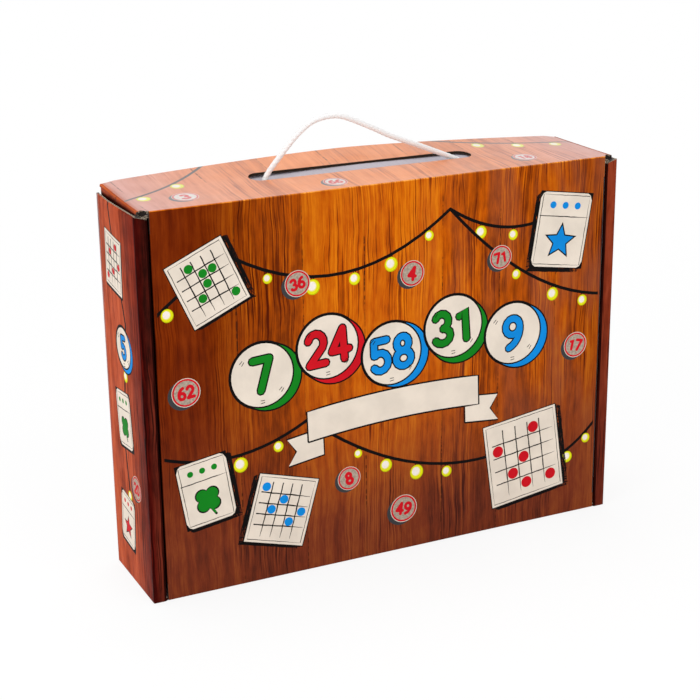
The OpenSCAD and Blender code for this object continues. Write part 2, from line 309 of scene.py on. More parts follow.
def fold(name, middle_of, start_deg, turn_deg, along, mats, bodies, slot, spot):
    """A crease between two panels, swept along a line of places.

    middle_of(s) gives the inner corner's point and the two directions of its cross-section. mats are
    the materials round it, first, middle and last, and spot(s, run) gives the place in the print.
    """
    piece = Piece()
    rows = []
    for s in along:
        middle, first, second = middle_of(s)
        middle = Vector(middle)
        row = [middle] + turned(middle, start_deg, turn_deg, first, second)
        rows.append([piece.corner(p) for p in row])
    flank = CREASE_STEPS // 2 - 1
    looks = ["liner"] + [mats[0]] * flank + [mats[len(mats) // 2]] * 2 + [mats[-1]] * flank + ["liner"]
    count = len(looks)
    part = 2 * BOARD / CREASE_STEPS
    spots = list(zip(along, rows))
    for (s, row), (t, after) in zip(spots, spots[1:]):
        for j, mat in enumerate(looks):
            k = (j + 1) % count
            uvs = [spot(a, part * b) for a, b in ((s, j - 1), (s, j), (t, j), (t, j - 1))]
            piece.face((row[j], row[k], after[k], after[j]), mat, uvs)
    ends = [(0.0, 0.5)] * count
    # The crease's cut ends are painted shade, nearly black.
    piece.face(rows[0][::-1], "side_edge", ends)
    piece.face(rows[-1], "side_edge", ends)
    return piece.done(name, bodies[0], smooth=50, ride=len(bodies) == 1)


# Drawing: a drawing is a list of layers, each a material and its closed loops

PEN_STEP = 2.5
BALL_STEPS = 5
CORNERS = ((-1, 1), (1, 1), (1, -1), (-1, -1))
BULB_RINGS = (("glow_rim", 1.0), ("glow", 0.9), ("glow_mid", 0.65), ("bulb", 0.55))


def filled(mat, *loops):
    """One layer for each loop."""
    return [(mat, [loop]) for loop in loops]


def drawn(*parts):
    """The layers of several drawings, each given as its function and values."""
    return [layer for make, *values in parts for layer in make(*values)]


def between(start, end, share):
    """The place at a share of the way from start to end."""
    return start[0] + (end[0] - start[0]) * share, start[1] + (end[1] - start[1]) * share


def arc(x, y, rx, ry, start, end, count):
    angles = [math.radians(start + (end - start) * i / count) for i in range(count + 1)]
    return [(x + rx * math.cos(a), y + ry * math.sin(a)) for a in angles]


def ring_of(x, y, rx, ry=None, count=28):
    return arc(x, y, rx, rx if ry is None else ry, 0, 360 - 360 / count, count - 1)


def box_of(w, h, cut=0.0):
    """A rectangle round the origin, with small arcs as corners where cut is given."""
    if not cut:
        return [(-w / 2, -h / 2), (w / 2, -h / 2), (w / 2, h / 2), (-w / 2, h / 2)]
    points = []
    for sx, sy, start in ((1, 1, 0), (-1, 1, 90), (-1, -1, 180), (1, -1, 270)):
        points += arc(sx * (w / 2 - cut), sy * (h / 2 - cut), cut, cut, start, start + 90, 4)
    return points


def stroke(points, width):
    """The outline of a pen line with round ends."""
    half = width / 2
    left, right = [], []
    last = len(points) - 1
    for i, (x, y) in enumerate(points):
        (ax, ay), (bx, by) = points[max(i - 1, 0)], points[min(i + 1, last)]
        size = math.hypot(bx - ax, by - ay) or 1.0
        nx, ny = -(by - ay) / size, (bx - ax) / size
        left.append((x + nx * half, y + ny * half))
        right.append((x - nx * half, y - ny * half))
    def cap(end, near):
        turn = math.degrees(math.atan2(end[1] - near[1], end[0] - near[0]))
        return arc(*end, half, half, turn - 90, turn + 90, 4)[1:-1]
    return right + cap(points[last], points[last - 1]) + left[::-1] + cap(points[0], points[1])


def pen(start, end, width, seed, tail=0.35):
    """A brush line drawn by hand: it wavers, swells and runs out thin at its end."""
    rng = np.random.default_rng(seed)
    (ax, ay), (bx, by) = start, end
    size = math.dist(start, end)
    nx, ny = (ay - by) / size, (bx - ax) / size
    count = max(int(size / PEN_STEP), 3)
    left, right = [], []
    for i in range(count + 1):
        t = i / count
        off = rng.uniform(-0.12, 0.12)
        half = width / 2 * rng.uniform(0.8, 1.15) * min(1.0, 0.25 + (1 - t) / tail)
        x, y = between(start, end, t)
        left.append((x + nx * (off + half), y + ny * (off + half)))
        right.append((x + nx * (off - half), y + ny * (off - half)))
    return right + left[::-1]


def put(layers, x, y, turn=0.0):
    """Turns a drawing and sets it down."""
    c, s = math.cos(math.radians(turn)), math.sin(math.radians(turn))
    return [(mat, [[(x + c * px - s * py, y + s * px + c * py) for px, py in loop] for loop in loops])
            for mat, loops in layers]


# Pen lines of the digits, in a box one high whose middle is at 0.3
DIGITS = {
    "0": [arc(0.3, 0.5, 0.25, 0.45, 90, 450, 16)],
    "1": [[(0.14, 0.76), (0.34, 0.95), (0.34, 0.05)]],
    "2": [arc(0.3, 0.68, 0.24, 0.27, 160, -35, 8) + [(0.06, 0.05)], [(0.06, 0.05), (0.56, 0.05)]],
    "3": [arc(0.28, 0.72, 0.22, 0.23, 150, -80, 8), arc(0.28, 0.28, 0.26, 0.23, 80, -150, 8)],
    "4": [[(0.42, 0.05), (0.42, 0.95)], [(0.42, 0.95), (0.05, 0.32)], [(0.05, 0.32), (0.58, 0.32)]],
    "5": [[(0.52, 0.95), (0.12, 0.95)], [(0.12, 0.95), (0.1, 0.54)],
          arc(0.28, 0.32, 0.25, 0.27, 128, -145, 10)],
    "6": [arc(0.3, 0.3, 0.24, 0.25, 90, 450, 14), arc(0.62, 0.34, 0.56, 0.62, 106, 182, 6)],
    "7": [[(0.05, 0.95), (0.55, 0.95)], [(0.55, 0.95), (0.22, 0.05)]],
    "8": [arc(0.3, 0.73, 0.19, 0.21, 90, 450, 14), arc(0.3, 0.28, 0.24, 0.23, 90, 450, 14)],
    "9": [arc(0.3, 0.7, 0.24, 0.25, 90, 450, 14), arc(-0.02, 0.66, 0.56, 0.62, -74, 2, 6)],
}
DIGIT_STEP = 0.72
DIGIT_MIDDLE = 0.3


def number(text, high, ink, weight=0.17, outline=0.0):
    """Digits in a row round the origin, with a black line round them if asked."""
    layers = []
    for extra, mat in [(outline * 2, "black")] * bool(outline) + [(0.0, ink)]:
        for place, digit in enumerate(text):
            shift = (place - (len(text) - 1) / 2) * DIGIT_STEP - DIGIT_MIDDLE
            for line in DIGITS[digit]:
                points = [((x + shift) * high, (y - 0.5) * high) for x, y in line]
                layers += filled(mat, stroke(points, weight * high + extra))
    return layers


def scratches(spots):
    """Short hand-drawn ticks, given by place and turn."""
    ticks = filled("black", *[stroke([(-1.3, step), (1.1, step * 0.8)], 0.45) for step in (-0.9, 0.9)])
    return drawn(*[(put, ticks, *spot) for spot in spots])


def ball(x, y, r, text, rim, lean):
    """A cream ball with a coloured thick rim, a black outline and a number."""
    def rings(mat, size, first, last=BALL_STEPS):
        shares = [i / BALL_STEPS for i in range(first, last + 1)]
        return filled(mat, *[ring_of(x + lean[0] * s, y + lean[1] * s, size, count=40) for s in shares])

    ticks = scratches([(-r * 0.62, r * 0.45, 50), (r * 0.6, -r * 0.52, 50), (0, -r * 0.82, 5)])
    return (rings("black", r + 1.0, 0) + rings(rim, r, 1)
            + rings("black", r + 0.2, 0, 0) + rings("cream", r - 0.8, 0, 0)
            + put(number(text, r * 1.05, rim, 0.2, 0.9), x, y, 4) + put(ticks, x, y))


def disc(x, y, r, text, turn=0):
    """A grey disc with a dark thick side, a thin pale rim, a red ring and a red number."""
    layers = filled("dark", *[ring_of(x - 0.065 * r * i, y - 0.04 * r * i, r) for i in (4, 3, 2, 1)])
    for mat, share in (("pale_grey", 1.0), ("red", 0.95), ("grey", 0.83)):
        layers += filled(mat, ring_of(x, y, r * share))
    return layers + put(number(text, r * (1.2 - 0.18 * len(text)), "red", 0.27), x, y, turn)


def ragged(w, h, shift, seed):
    """The uneven dark side of a card, moved out from under it."""
    rng = np.random.default_rng(seed)
    corners = box_of(w, h)
    points = []
    for start, end in zip(corners, corners[1:] + corners[:1]):
        count = max(int(math.dist(start, end) / 4), 2)
        for i in range(count):
            wob = rng.uniform(-0.5, 0.5, 2)
            x, y = between(start, end, i / count)
            points.append((x + shift[0] + wob[0], y + shift[1] + wob[1]))
    return points


def card_base(w, h, shift, seed):
    """A cream card with its roughly hatched black side and the thin lines inside its border."""
    dx, dy = shift
    half_w, half_h = w / 2, h / 2
    side = half_w if dx > 0 else -half_w
    lines = [ragged(w, h, (dx * 0.4, dy * 0.5), seed)]
    for step, share in enumerate((0.55, 0.8, 1.02)):
        x, y = dx * share, dy * share * 1.3
        weight = 0.95 - 0.12 * step
        lines.append(pen((-half_w + x, -half_h + y), (half_w + x, -half_h + y * 0.9), weight, seed + step))
        lines.append(pen((side + x, half_h + y), (side + x * 0.96, -half_h + y), weight, seed + 5 + step))
    rng = np.random.default_rng(seed)
    for i in range(int(h / 3)):
        y = -half_h + h * (i + rng.uniform(0, 1)) / int(h / 3) + dy
        lines.append(stroke([(side, y), (side + dx * rng.uniform(0.8, 1.1), y - 0.8)], 0.7))
    for i in range(int(w / 3)):
        x = -half_w + w * (i + rng.uniform(0, 1)) / int(w / 3) + dx
        lines.append(stroke([(x, -half_h), (x + 0.7, -half_h + dy * rng.uniform(0.9, 1.4))], 0.7))
    inner = box_of(w - 3.4, h - 3.4)
    border = [pen(start, inner[(i + 1) % 4], 0.42, seed + 2 + i, 0.6) for i, start in enumerate(inner)]
    return (filled("black", *lines, box_of(w + 1.2, h + 1.2)) + filled("cream", box_of(w, h))
            + filled("black", *border))


def dotted_card(x, y, w, h, turn, ink, dots, shift, seed):
    """A card with a hand-drawn grid of five by five and some of its squares marked."""
    layers = card_base(w, h, shift, seed)
    step_x, step_y = w * 0.17, h * 0.16
    for i in (-1.5, -0.5, 0.5, 1.5):
        slip = 0.5 * math.sin(7 * i + seed)
        down = pen((i * step_x + slip, h * 0.40), (i * step_x, -h * 0.41), 0.8, seed)
        across = pen((-w * 0.41, i * step_y), (w * 0.43, i * step_y + slip), 0.8, seed + 1)
        layers += filled("black", down, across)
    layers += filled(ink, *[ring_of(i * step_x, j * step_y, w * 0.072, count=20) for i, j in dots])
    return put(layers, x, y, turn)


def star(r):
    tips = [(r * (0.45 if i % 2 else 1), math.pi * i / 5) for i in range(9, -1, -1)]
    return [(size * math.sin(a), size * math.cos(a)) for size, a in tips]


def clover(r):
    leaves = [ring_of(0.5 * r * math.cos(a), 0.5 * r * math.sin(a), 0.46 * r, count=20)
              for a in (0.785, 2.356, 3.927, 5.498)]
    return leaves + [stroke([(0, 0), (0.1 * r, -0.6 * r), (0.35 * r, -1.1 * r)], 0.16 * r)]


def motif_card(x, y, w, h, turn, ink, motif, shift, seed):
    """A card with a ruled head and one traditional luck sign."""
    layers = card_base(w, h, shift, seed)
    layers += filled("black", pen((-w / 2 + 1, h * 0.18), (w / 2 - 1, h * 0.18), 0.6, seed))
    layers += filled(ink, *[ring_of(i * w * 0.24, h * 0.33, w * 0.06, count=16) for i in (-1, 0, 1)])
    r = w * 0.27
    if motif == "star":
        layers += put(filled("black", star(r * 1.22)) + filled(ink, star(r)), 0, -h * 0.15)
    else:
        layers += put(filled("black", *clover(r * 1.12)) + filled(ink, *clover(r)), 0, -h * 0.13)
    for sx, sy in CORNERS:
        tick = [(sx * (w / 2 - px), sy * (h / 2 - py)) for px, py in ((0, 0), (3.4, 0), (1.4, 1.2), (0, 4.2))]
        layers += filled("black", tick if sx * sy < 0 else tick[::-1])
    return put(layers, x, y, turn)


def swag(start, end, sag, count=14):
    """A hanging line from one place to another."""
    line = []
    for share in [i / count for i in range(count + 1)]:
        x, y = between(start, end, share)
        line.append((x, y - 4 * sag * share * (1 - share)))
    return line


def garland(start, end, sag, bulbs):
    """A black wire with glowing bulbs under it, given by their share of the way and radius."""
    line = swag(start, end, sag)
    layers = filled("black", stroke(line, 2.0))
    for share, r in bulbs:
        at = share * (len(line) - 1)
        i = min(int(at), len(line) - 2)
        x, y = between(line[i], line[i + 1], at - i)
        cap = [stroke([(x + side, y), (x + side * 0.9, y - 2.3)], 0.6) for side in (-0.7, 0.7)]
        layers += filled("black", *cap)
        for mat, size in BULB_RINGS:
            off = (1 - size) * 0.3 * r
            layers += filled(mat, ring_of(x - off, y - 1.8 - r + off, size * r, size * r * 1.06, 22))
    return layers


def ribbon(x, y, w, h, turn):
    """A bare cream banner with folded ends and a black outline."""
    top = swag((-w / 2, 0), (w / 2, 0), -3, 12)
    right = [(w * 0.42, -h * 0.15), (w * 0.62, -h * 0.3), (w * 0.57, -h * 0.75), (w * 0.62, -h * 1.2),
             (w * 0.42, -h * 1.05)]
    band = [(px, py - h / 2) for px, py in top] + [(px, py + h / 2) for px, py in top[::-1]]
    layers = []
    for shape in ([(-px, py) for px, py in right], right[::-1], band):
        layers += filled("black", stroke(shape + shape[:1], 2.2)) + filled("cream", shape)
    return put(layers, x, y, turn)


def front_art():
    balls = (("7", "green", (4.5, -2.0)), ("24", "red", (4.0, -3.0)), ("58", "blue", (4.5, -1.5)),
             ("31", "green", (3.5, -3.5)), ("9", "blue", (4.5, -2.5)))
    return drawn(
        (garland, (-153, 176), (-104, 210), -1.5, [(0.2, 3.9), (0.5, 3.2)]),
        (garland, (-104, 208), (40, 219), 25,
         [(0.16, 3.0), (0.36, 4.6), (0.55, 3.7), (0.72, 4.4), (0.9, 3.1)]),
        (garland, (40, 219), (112, 206), 9, [(0.3, 4.0), (0.62, 3.3)]),
        (garland, (40, 219), (153, 150), 14, [(0.42, 3.1), (0.66, 4.2), (0.86, 3.5)]),
        (garland, (-153, 92), (-50, 104), 13, [(0.26, 3.6), (0.5, 4.6), (0.74, 3.3)]),
        (garland, (-50, 94), (70, 52), 13, [(0.22, 2.7), (0.38, 4.2), (0.56, 4.7), (0.74, 3.6)]),
        (garland, (106, 40), (153, 66), 7, [(0.5, 3.8), (0.8, 3.2)]),
        (dotted_card, -118, 194, 38, 42, 24, "green",
         [(-1, 2), (0, 0), (1, 1), (-1, -1), (2, -2), (0, 1)], (3.4, -1.2), 3),
        (motif_card, 120, 196, 38, 48, -9, "blue", "star", (-3.0, -2.2), 4),
        (dotted_card, 96, 47, 54, 58, 8, "red",
         [(-2, 1), (-1, -1), (0, 0), (1, 2), (0, -2), (2, -2)], (3.6, -1.6), 5),
        (dotted_card, -76, 44, 40, 44, -16, "blue",
         [(-2, 2), (-1, 0), (0, 1), (1, -1), (2, 0)], (-3.4, -1.4), 6),
        (motif_card, -124, 66, 32, 42, 9, "green", "clover", (3.0, -1.6), 7),
        (ribbon, 2, 97, 118, 19, 2),
        *[(ball, -86 + 43 * i, 144 if i % 2 else 133, 20.5, *look) for i, look in enumerate(balls)],
        (disc, -62, 186, 8.2, "36", 12),
        (disc, 14, 182, 8.2, "4", -10),
        (disc, 76, 184, 7.8, "71", 10),
        (disc, 133, 118, 8.6, "17", -12),
        (disc, -134, 130, 9.0, "62", 8),
        (disc, 8, 28, 9.4, "49", -8),
        (disc, -30, 56, 7.8, "8", 14))


def left_art():
    return drawn(
        (garland, (-10, 240), (9, 168), 2, [(0.5, 3.6)]),
        (garland, (9, 168), (-6, 92), -2, [(0.4, 3.4), (0.75, 3.4)]),
        (garland, (-6, 92), (4, 28), 2, [(0.45, 3.4)]),
        (dotted_card, -6, 202, 29, 34, -6, "red", [(-1, 1), (0, -1), (1, 2), (2, 0), (-2, -2)], (1.2, -1), 8),
        (ball, 2, 152, 13, "5", "blue", (3, -1.5)),
        (motif_card, -4, 105, 25, 35, 6, "green", "clover", (1.2, -1), 9),
        (disc, 12, 66, 8, "20"),
        (motif_card, -8, 38, 24, 33, -6, "red", "star", (1.2, -1), 10))


def right_art():
    return drawn(
        (garland, (12, 240), (-8, 176), 2, [(0.5, 3.6)]),
        (garland, (-8, 176), (6, 96), -2, [(0.35, 3.4), (0.7, 3.4)]),
        (garland, (6, 96), (-6, 20), 2, [(0.5, 3.4)]),
        (ball, 2, 204, 14, "12", "red", (3, -1.5)),
        (motif_card, -4, 158, 25, 35, 6, "blue", "star", (1.2, -1), 11),
        (dotted_card, 4, 108, 29, 34, -6, "green",
         [(-1, -1), (0, 1), (1, 0), (2, 2), (-2, 0)], (1.2, -1), 12),
        (disc, -10, 70, 8, "53"),
        (motif_card, 5, 36, 24, 33, -5, "red", "clover", (1.2, -1), 13))


def top_art():
    return drawn(
        (garland, (-160, -8), (-92, 36), 6, [(0.22, 4.2), (0.6, 4.2)]),
        (garland, (58, 36), (162, 14), 5, [(0.3, 4.2), (0.55, 4.2), (0.8, 4.0)]),
        (disc, -122, -14, 8, "3"),
        (disc, -30, -20, 7.4, "66"),
        (disc, 104, -14, 7.6, "18"))


def back_art():
    label = filled("black", box_of(202, 112, 7)) + filled("cream", box_of(199, 109, 6))
    return drawn(
        (garland, (-160, 196), (-40, 214), 20, [(0.2, 4), (0.45, 4.6), (0.7, 3.6)]),
        (garland, (-40, 214), (160, 186), 26, [(0.15, 3.6), (0.35, 4.6), (0.6, 4), (0.85, 3.8)]),
        (put, label, 0, 98),
        (dotted_card, -122, 178, 34, 38, 12, "green", [(-1, 1), (0, -1), (1, 2), (2, 0)], (2.6, -1.2), 14),
        (motif_card, 126, 60, 34, 46, -8, "red", "star", (2.6, -1.2), 15),
        (disc, -128, 84, 9, "27", 8),
        (disc, 124, 118, 9, "40", -8),
        (disc, -60, 22, 8.6, "11", 6))


# Materials

MATERIALS = {}


class Nodes:
    """A shader's nodes, with short ways to add and join them."""

    def __init__(self, owner):
        owner.use_nodes = True
        self.tree = owner.node_tree
        self.tree.nodes.clear()

    def node(self, kind, **settings):
        made = self.tree.nodes.new("ShaderNode" + kind)
        for key, value in settings.items():
            setattr(made, key, value)
        return made

    def feed(self, inputs, *values, **named):
        """Joins inputs to outputs or sets them, in order or by name. Colours get their alpha here."""
        pairs = list(zip(inputs, values))
        pairs += [(inputs[key.replace("_", " ")], value) for key, value in named.items()]
        for socket, value in pairs:
            if isinstance(value, bpy.types.NodeSocket):
                self.tree.links.new(value, socket)
            else:
                socket.default_value = (*value, 1.0) if socket.type == "RGBA" else value

    def fed(self, kind, *values, **settings):
        """The first output of a new node, whose inputs are fed in order."""
        made = self.node(kind, **settings)
        self.feed(made.inputs, *values)
        return made.outputs[0]

    def math(self, operation, *values):
        return self.fed("Math", *values, operation=operation)

    def times(self, first, second):
        return self.math("MULTIPLY", first, second)

    def plus(self, value, weight, base):
        """A weighted value, added to a base."""
        return self.math("MULTIPLY_ADD", value, weight, base)

    def gap(self, first, second):
        return self.math("ABSOLUTE", self.math("SUBTRACT", first, second))

    def range(self, value, low, high, new_low=0.0, new_high=1.0, shape="SMOOTHSTEP"):
        return self.fed("MapRange", value, low, high, new_low, new_high, interpolation_type=shape)

    def even(self, value, low=0.0, high=1.0):
        """The middle of a noise's range, stretched from low to high."""
        return self.range(value, 0.3, 0.7, low, high)

    def join(self, x, y, z=0.0):
        return self.fed("CombineXYZ", x, y, z)

    def split(self, vector):
        made = self.node("SeparateXYZ")
        self.feed(made.inputs, vector)
        return made.outputs

    def print_place(self):
        return self.split(self.node("UVMap", uv_map="print").outputs["UV"])[:2]

    def body_place(self):
        return self.node("TexCoord").outputs["Object"]

    def noise(self, vector, scale, detail=3.0, roughness=0.5):
        made = self.node("TexNoise")
        self.feed(made.inputs, Vector=vector, Scale=scale, Detail=detail, Roughness=roughness)
        return made.outputs["Fac"]

    def ramp(self, value, places, colours):
        made = self.node("ValToRGB")
        band = made.color_ramp
        while len(band.elements) < len(places):
            band.elements.new(0.5)
        for element, place, colour in zip(band.elements, places, colours):
            element.position = place
            element.color = (*colour, 1.0)
        self.feed(made.inputs, value)
        return made.outputs[0]

    def mix(self, share, first, second):
        made = self.node("Mix", data_type="RGBA")
        self.feed([made.inputs[i] for i in (0, 6, 7)], share, first, second)
        return made.outputs[2]


class Net(Nodes):
    """A material with one principled shader, kept in MATERIALS under its name."""

    def __init__(self, name, **sockets):
        mat = bpy.data.materials.new(name)
        MATERIALS[name] = mat
        super().__init__(mat)
        self.shader = self.node("BsdfPrincipled")
        self.feed(self.shader.inputs, **sockets)
        self.feed(self.node("OutputMaterial").inputs, self.shader.outputs["BSDF"])

    def surface(self, colour, rough, height, distance, strength=1.0):
        """Sets colour and roughness, and lets a height in metres raise the surface."""
        bump = self.node("Bump")
        self.feed(bump.inputs, Height=height, Distance=distance, Strength=strength)
        self.feed(self.shader.inputs, Base_Color=colour, Roughness=rough, Normal=bump.outputs[0])


FLUTE = 0.0034
# Specular level of the printed film on the front, and on the sides, which the sheen hardly reaches
MATT = {"Specular_IOR_Level": 0.02}
DULL = {"Specular_IOR_Level": 0.015}
# The top is seen at a low angle and mirrors the bright backdrop through its clear film
CLEAR = {"Coat_Weight": 0.5, "Coat_Roughness": 0.3, "Specular_IOR_Level": 0.3}
TONE_PLACES = (0.30, 0.41, 0.52, 0.68)
ROSY = (0.24, 0.066, 0.034)
SEAM = (0.018, 0.007, 0.004)


def darker(colour, share):
    return tuple(c * share for c in colour)


def flutes(net, u):
    """The waves of the corrugated medium, from -1 to 1."""
    return net.math("SINE", net.times(u, 2 * math.pi / FLUTE))


def laminate(net, colour, u, v, grain=None):
    """The thin film over printed board: faint flutes, small dimples and uneven gloss."""
    place = net.join(u, v)
    height = net.plus(flutes(net, u), 0.35, net.noise(place, 420, 2.0))
    if grain:
        height = net.plus(grain, 0.25, height)
    net.surface(colour, net.even(net.noise(place, 60), 0.40, 0.50), height, 0.00005, 0.5)


def seams(net, u, v, scaled, seed):
    """Thin dark lines between the planks, beaded in places and worn away in others."""
    line = net.range(net.math("PINGPONG", scaled, 0.5), 0.005, 0.012, 1.0, 0.0)
    which = net.join(net.math("ROUND", scaled), net.times(v, 14), seed)
    shown = net.range(net.noise(which, 1.0, 1.0), 0.42, 0.54, 0.1, 1.0)
    beads = net.range(net.noise(net.join(net.times(u, 0.2), v), 330, 1.0), 0.42, 0.58, 0.25, 1.0)
    return net.times(line, net.times(shown, beads))


def planks(net, u, v, seed, width):
    """Streaked timber with its own tone in each plank: returns the tone from 0 to 1 and the seams."""
    def at(share, shift=0.0):
        return net.join(u, net.times(v, share), seed + shift)

    drift = net.noise(net.join(u, seed), 9, 1.0)
    scaled = net.plus(net.plus(drift, 0.03, u), 1 / width, seed)
    own = net.node("TexWhiteNoise", noise_dimensions="1D")
    net.feed(own.inputs, W=net.math("FLOOR", scaled))
    own = own.outputs["Value"]
    bend = net.plus(net.noise(at(1), 14, 2.0), 0.008, u)
    bend = net.plus(net.noise(at(0.7, 5), 48, 2.0), 0.003, bend)

    def along(share):
        return net.join(bend, net.times(v, share), seed)

    fine = net.join(bend, net.plus(v, 0.05, net.times(own, 5.0)), seed)
    tone = -0.26
    for value, weight in ((net.noise(along(0.05), 42), 0.5), (net.noise(fine, 260, 4.0, 0.6), 0.44),
                          (net.noise(at(0.4), 190), 0.24), (net.noise(along(0.05), 1400, 3.0, 0.7), 0.24),
                          (own, 0.12)):
        tone = net.plus(value, weight, tone)
    tone = net.plus(net.range(net.noise(at(0.02, 2), 30, 2.0), 0.60, 0.66), -0.10, tone)
    busy = net.range(net.noise(at(0.25, 9), 26, 2.0), 0.45, 0.57)
    lines = net.noise(along(0.012), 1150, 1.0)
    for low, high, change in ((0.43, 0.34, -0.20), (0.56, 0.66, 0.14)):
        tone = net.plus(net.times(net.range(lines, low, high), busy), change, tone)
    knot = net.node("TexVoronoi", feature="F1")
    net.feed(knot.inputs, Vector=along(0.42), Scale=10)
    far = knot.outputs["Distance"]
    rings = net.times(net.math("SINE", net.times(far, 120)), net.range(far, 0.08, 0.26, 1.0, 0.0))
    tone = net.plus(rings, 0.035, tone)
    tone = net.math("SUBTRACT", tone, net.range(far, 0.01, 0.075, 0.22, 0.0))
    return tone, seams(net, u, v, scaled, seed)


def wood(name, near, beside, below, glow, seed, width=0.044, haze=0.0, rim=None, sockets=DULL):
    """Printed timber. Its tones run from dark to light, and other sets take over away from the glow.

    Glow is its place in the print and its reach, across and up. Haze is the share of rosy patches,
    which grow to the right. Rim gives the tones of the outermost ends, and where they begin and rule.
    """
    net = Net(name, **sockets)
    u, v = net.print_place()
    tone, seam = planks(net, u, v, seed, width)

    def toned(tones):
        return net.ramp(tone, TONE_PLACES, tones)

    def away(place, middle, reach):
        share = net.math("DIVIDE", net.math("SUBTRACT", place, middle), reach)
        return net.range(net.math("POWER", share, 2.0), 0.02, 1.0)

    colour = net.mix(away(u, glow[0], glow[2]), toned(near), toned(beside))
    if haze:
        patches = net.noise(net.join(u, net.times(v, 0.3), seed + 14), 38, 2.0)
        rosy = net.times(net.range(patches, 0.40, 0.62), net.range(u, -0.02, 0.14, 0.05 * haze, haze))
        colour = net.mix(rosy, colour, ROSY)
    colour = net.mix(away(v, glow[1], glow[3]), colour, toned(below))
    if rim:
        tones, begin, full = rim
        colour = net.mix(net.range(net.math("ABSOLUTE", u), begin, full), colour, toned(tones))
    laminate(net, net.mix(net.times(seam, 0.75), colour, SEAM), u, v, tone)


def ink(name, colour, sockets, drift=0.06, grain=55):
    """A flat printed colour under the film, with the faint unevenness of offset print."""
    net = Net(name, **sockets)
    u, v = net.print_place()
    low, high = (tuple(min(c * share, 1) for c in colour) for share in (1 - drift, 1 + drift))
    laminate(net, net.mix(net.even(net.noise(net.join(u, v), grain, 4.0)), low, high), u, v)


def liner(name, colour, fibre):
    """Unprinted board: fibres, specks and the flutes that show through."""
    net = Net(name, Specular_IOR_Level=0.3)
    u, v = net.print_place()
    fibres = net.noise(net.join(net.times(u, 0.25), v), 1500, 3.0, 0.7)
    base = net.mix(net.even(net.noise(net.join(u, v), 38, 4.0)), colour, darker(colour, 0.93))
    base = net.mix(net.range(fibres, 0.55, 0.75, 0.0, 0.5), base, fibre)
    waves = flutes(net, u)
    base = net.mix(net.range(waves, 0.2, 1.0, 0.0, 0.12), base, fibre)
    net.surface(base, net.even(fibres, 0.72, 0.9), net.plus(waves, 0.6, fibres), 0.00008, 0.7)


def raw_edge(name, hollow, dark_pulp, pale_pulp):
    """The cut edge of corrugated board: two liners with the waved medium between them, and painted shade in
    the open flutes.
    """
    net = Net(name, Specular_IOR_Level=0.2)
    u, v = net.print_place()
    across = net.times(v, 1 / MM)
    medium = net.range(net.gap(across, net.plus(flutes(net, u), 0.28, 0.5)), 0.10, 0.18, 1.0, 0.0)
    paper = net.math("MAXIMUM", medium, net.range(net.gap(across, 0.5), 0.26, 0.34))
    pulp = net.mix(net.even(net.noise(net.join(u, v), 2500)), dark_pulp, pale_pulp)
    # Between the paper lies the hollow colour: painted shade in the open flutes.
    net.surface(net.mix(paper, hollow, pulp), 0.92, paper, 0.0003)


def crushed(name):
    """Board that was crushed at a corner: torn grey liner and brown pulp, with painted shade that darkens it
    the lower it lies in the hollow.
    """
    net = Net(name, Specular_IOR_Level=0.2)
    place = net.body_place()
    lumps = net.noise(place, 650, 5.0, 0.65)
    # Painted shade: the lower the crushed board lies, the darker it is.
    high = net.range(net.split(place)[2], 0.2384, 0.2399, -0.30, 0.06)
    colour = net.ramp(net.math("ADD", lumps, high), (0.40, 0.54, 0.70),
                      ((0.012, 0.008, 0.006), (0.09, 0.06, 0.038), (0.34, 0.26, 0.17)))
    net.surface(colour, 0.95, lumps, 0.0003)


def solid_stock(name, colour, scale=900):
    """Solid card or paper seen on its face or its cut edge."""
    net = Net(name, Specular_IOR_Level=0.35)
    fibres = net.noise(net.body_place(), scale, 4.0, 0.65)
    colour = net.mix(net.even(fibres), darker(colour, 0.9), colour)
    net.surface(colour, net.even(fibres, 0.55, 0.75), fibres, 0.00006)


def rope_fibre(name, colour, groove):
    """Rope: fine filaments along the strands and darker grooves between them."""
    net = Net(name, Sheen_Weight=0.25, Sheen_Roughness=0.5, Specular_IOR_Level=0.4)
    u, v = net.print_place()
    hair = net.noise(net.join(net.times(u, 3.0), v), 1500, 3.0, 0.7)
    colour = net.mix(net.range(hair, 0.35, 0.65), groove, colour)
    net.surface(colour, net.even(hair, 0.45, 0.65), hair, 0.00012)


def cloth(name, colour, light):
    """Plain-woven cotton, lighter where the threads cross: a painted highlight on the thread crests."""
    net = Net(name, Sheen_Weight=0.3, Sheen_Roughness=0.6, Specular_IOR_Level=0.25)
    place = net.body_place()
    waves = []
    for axis in "XZ":
        wave = net.node("TexWave", wave_type="BANDS", bands_direction=axis)
        net.feed(wave.inputs, Vector=place, Scale=420, Distortion=0.6)
        waves.append(wave.outputs["Fac"])
    weave = net.times(*waves)
    clouds = net.noise(place, 90, 4.0)
    base = net.mix(net.even(clouds), darker(colour, 0.8), colour)
    # The light colour at the crossings is a painted highlight.
    net.surface(net.mix(net.times(weave, 0.45), base, light), net.even(clouds, 0.8, 0.95), weave, 0.0002)


def moulded(name, colour):
    """Small moulded plastic pieces with fine scuffs."""
    net = Net(name, IOR=1.49)
    place = net.body_place()
    scuff = net.noise(place, 700, 4.0, 0.7)
    base = net.mix(net.even(net.noise(place, 60, 2.0)), darker(colour, 0.85), colour)
    net.surface(base, net.range(scuff, 0.35, 0.65, 0.22, 0.36), scuff, 0.00003)


def clear_film(name):
    """Clear bag film with soft creases."""
    net = Net(name, IOR=1.5)
    creases = net.noise(net.body_place(), 55, 5.0, 0.65)
    colour = net.mix(net.even(creases), (0.80, 0.86, 0.90), (0.93, 0.96, 0.98))
    net.surface(colour, net.even(creases, 0.12, 0.3), creases, 0.0012)
    net.feed(net.shader.inputs, Alpha=net.range(creases, 0.35, 0.75, 0.16, 0.34))


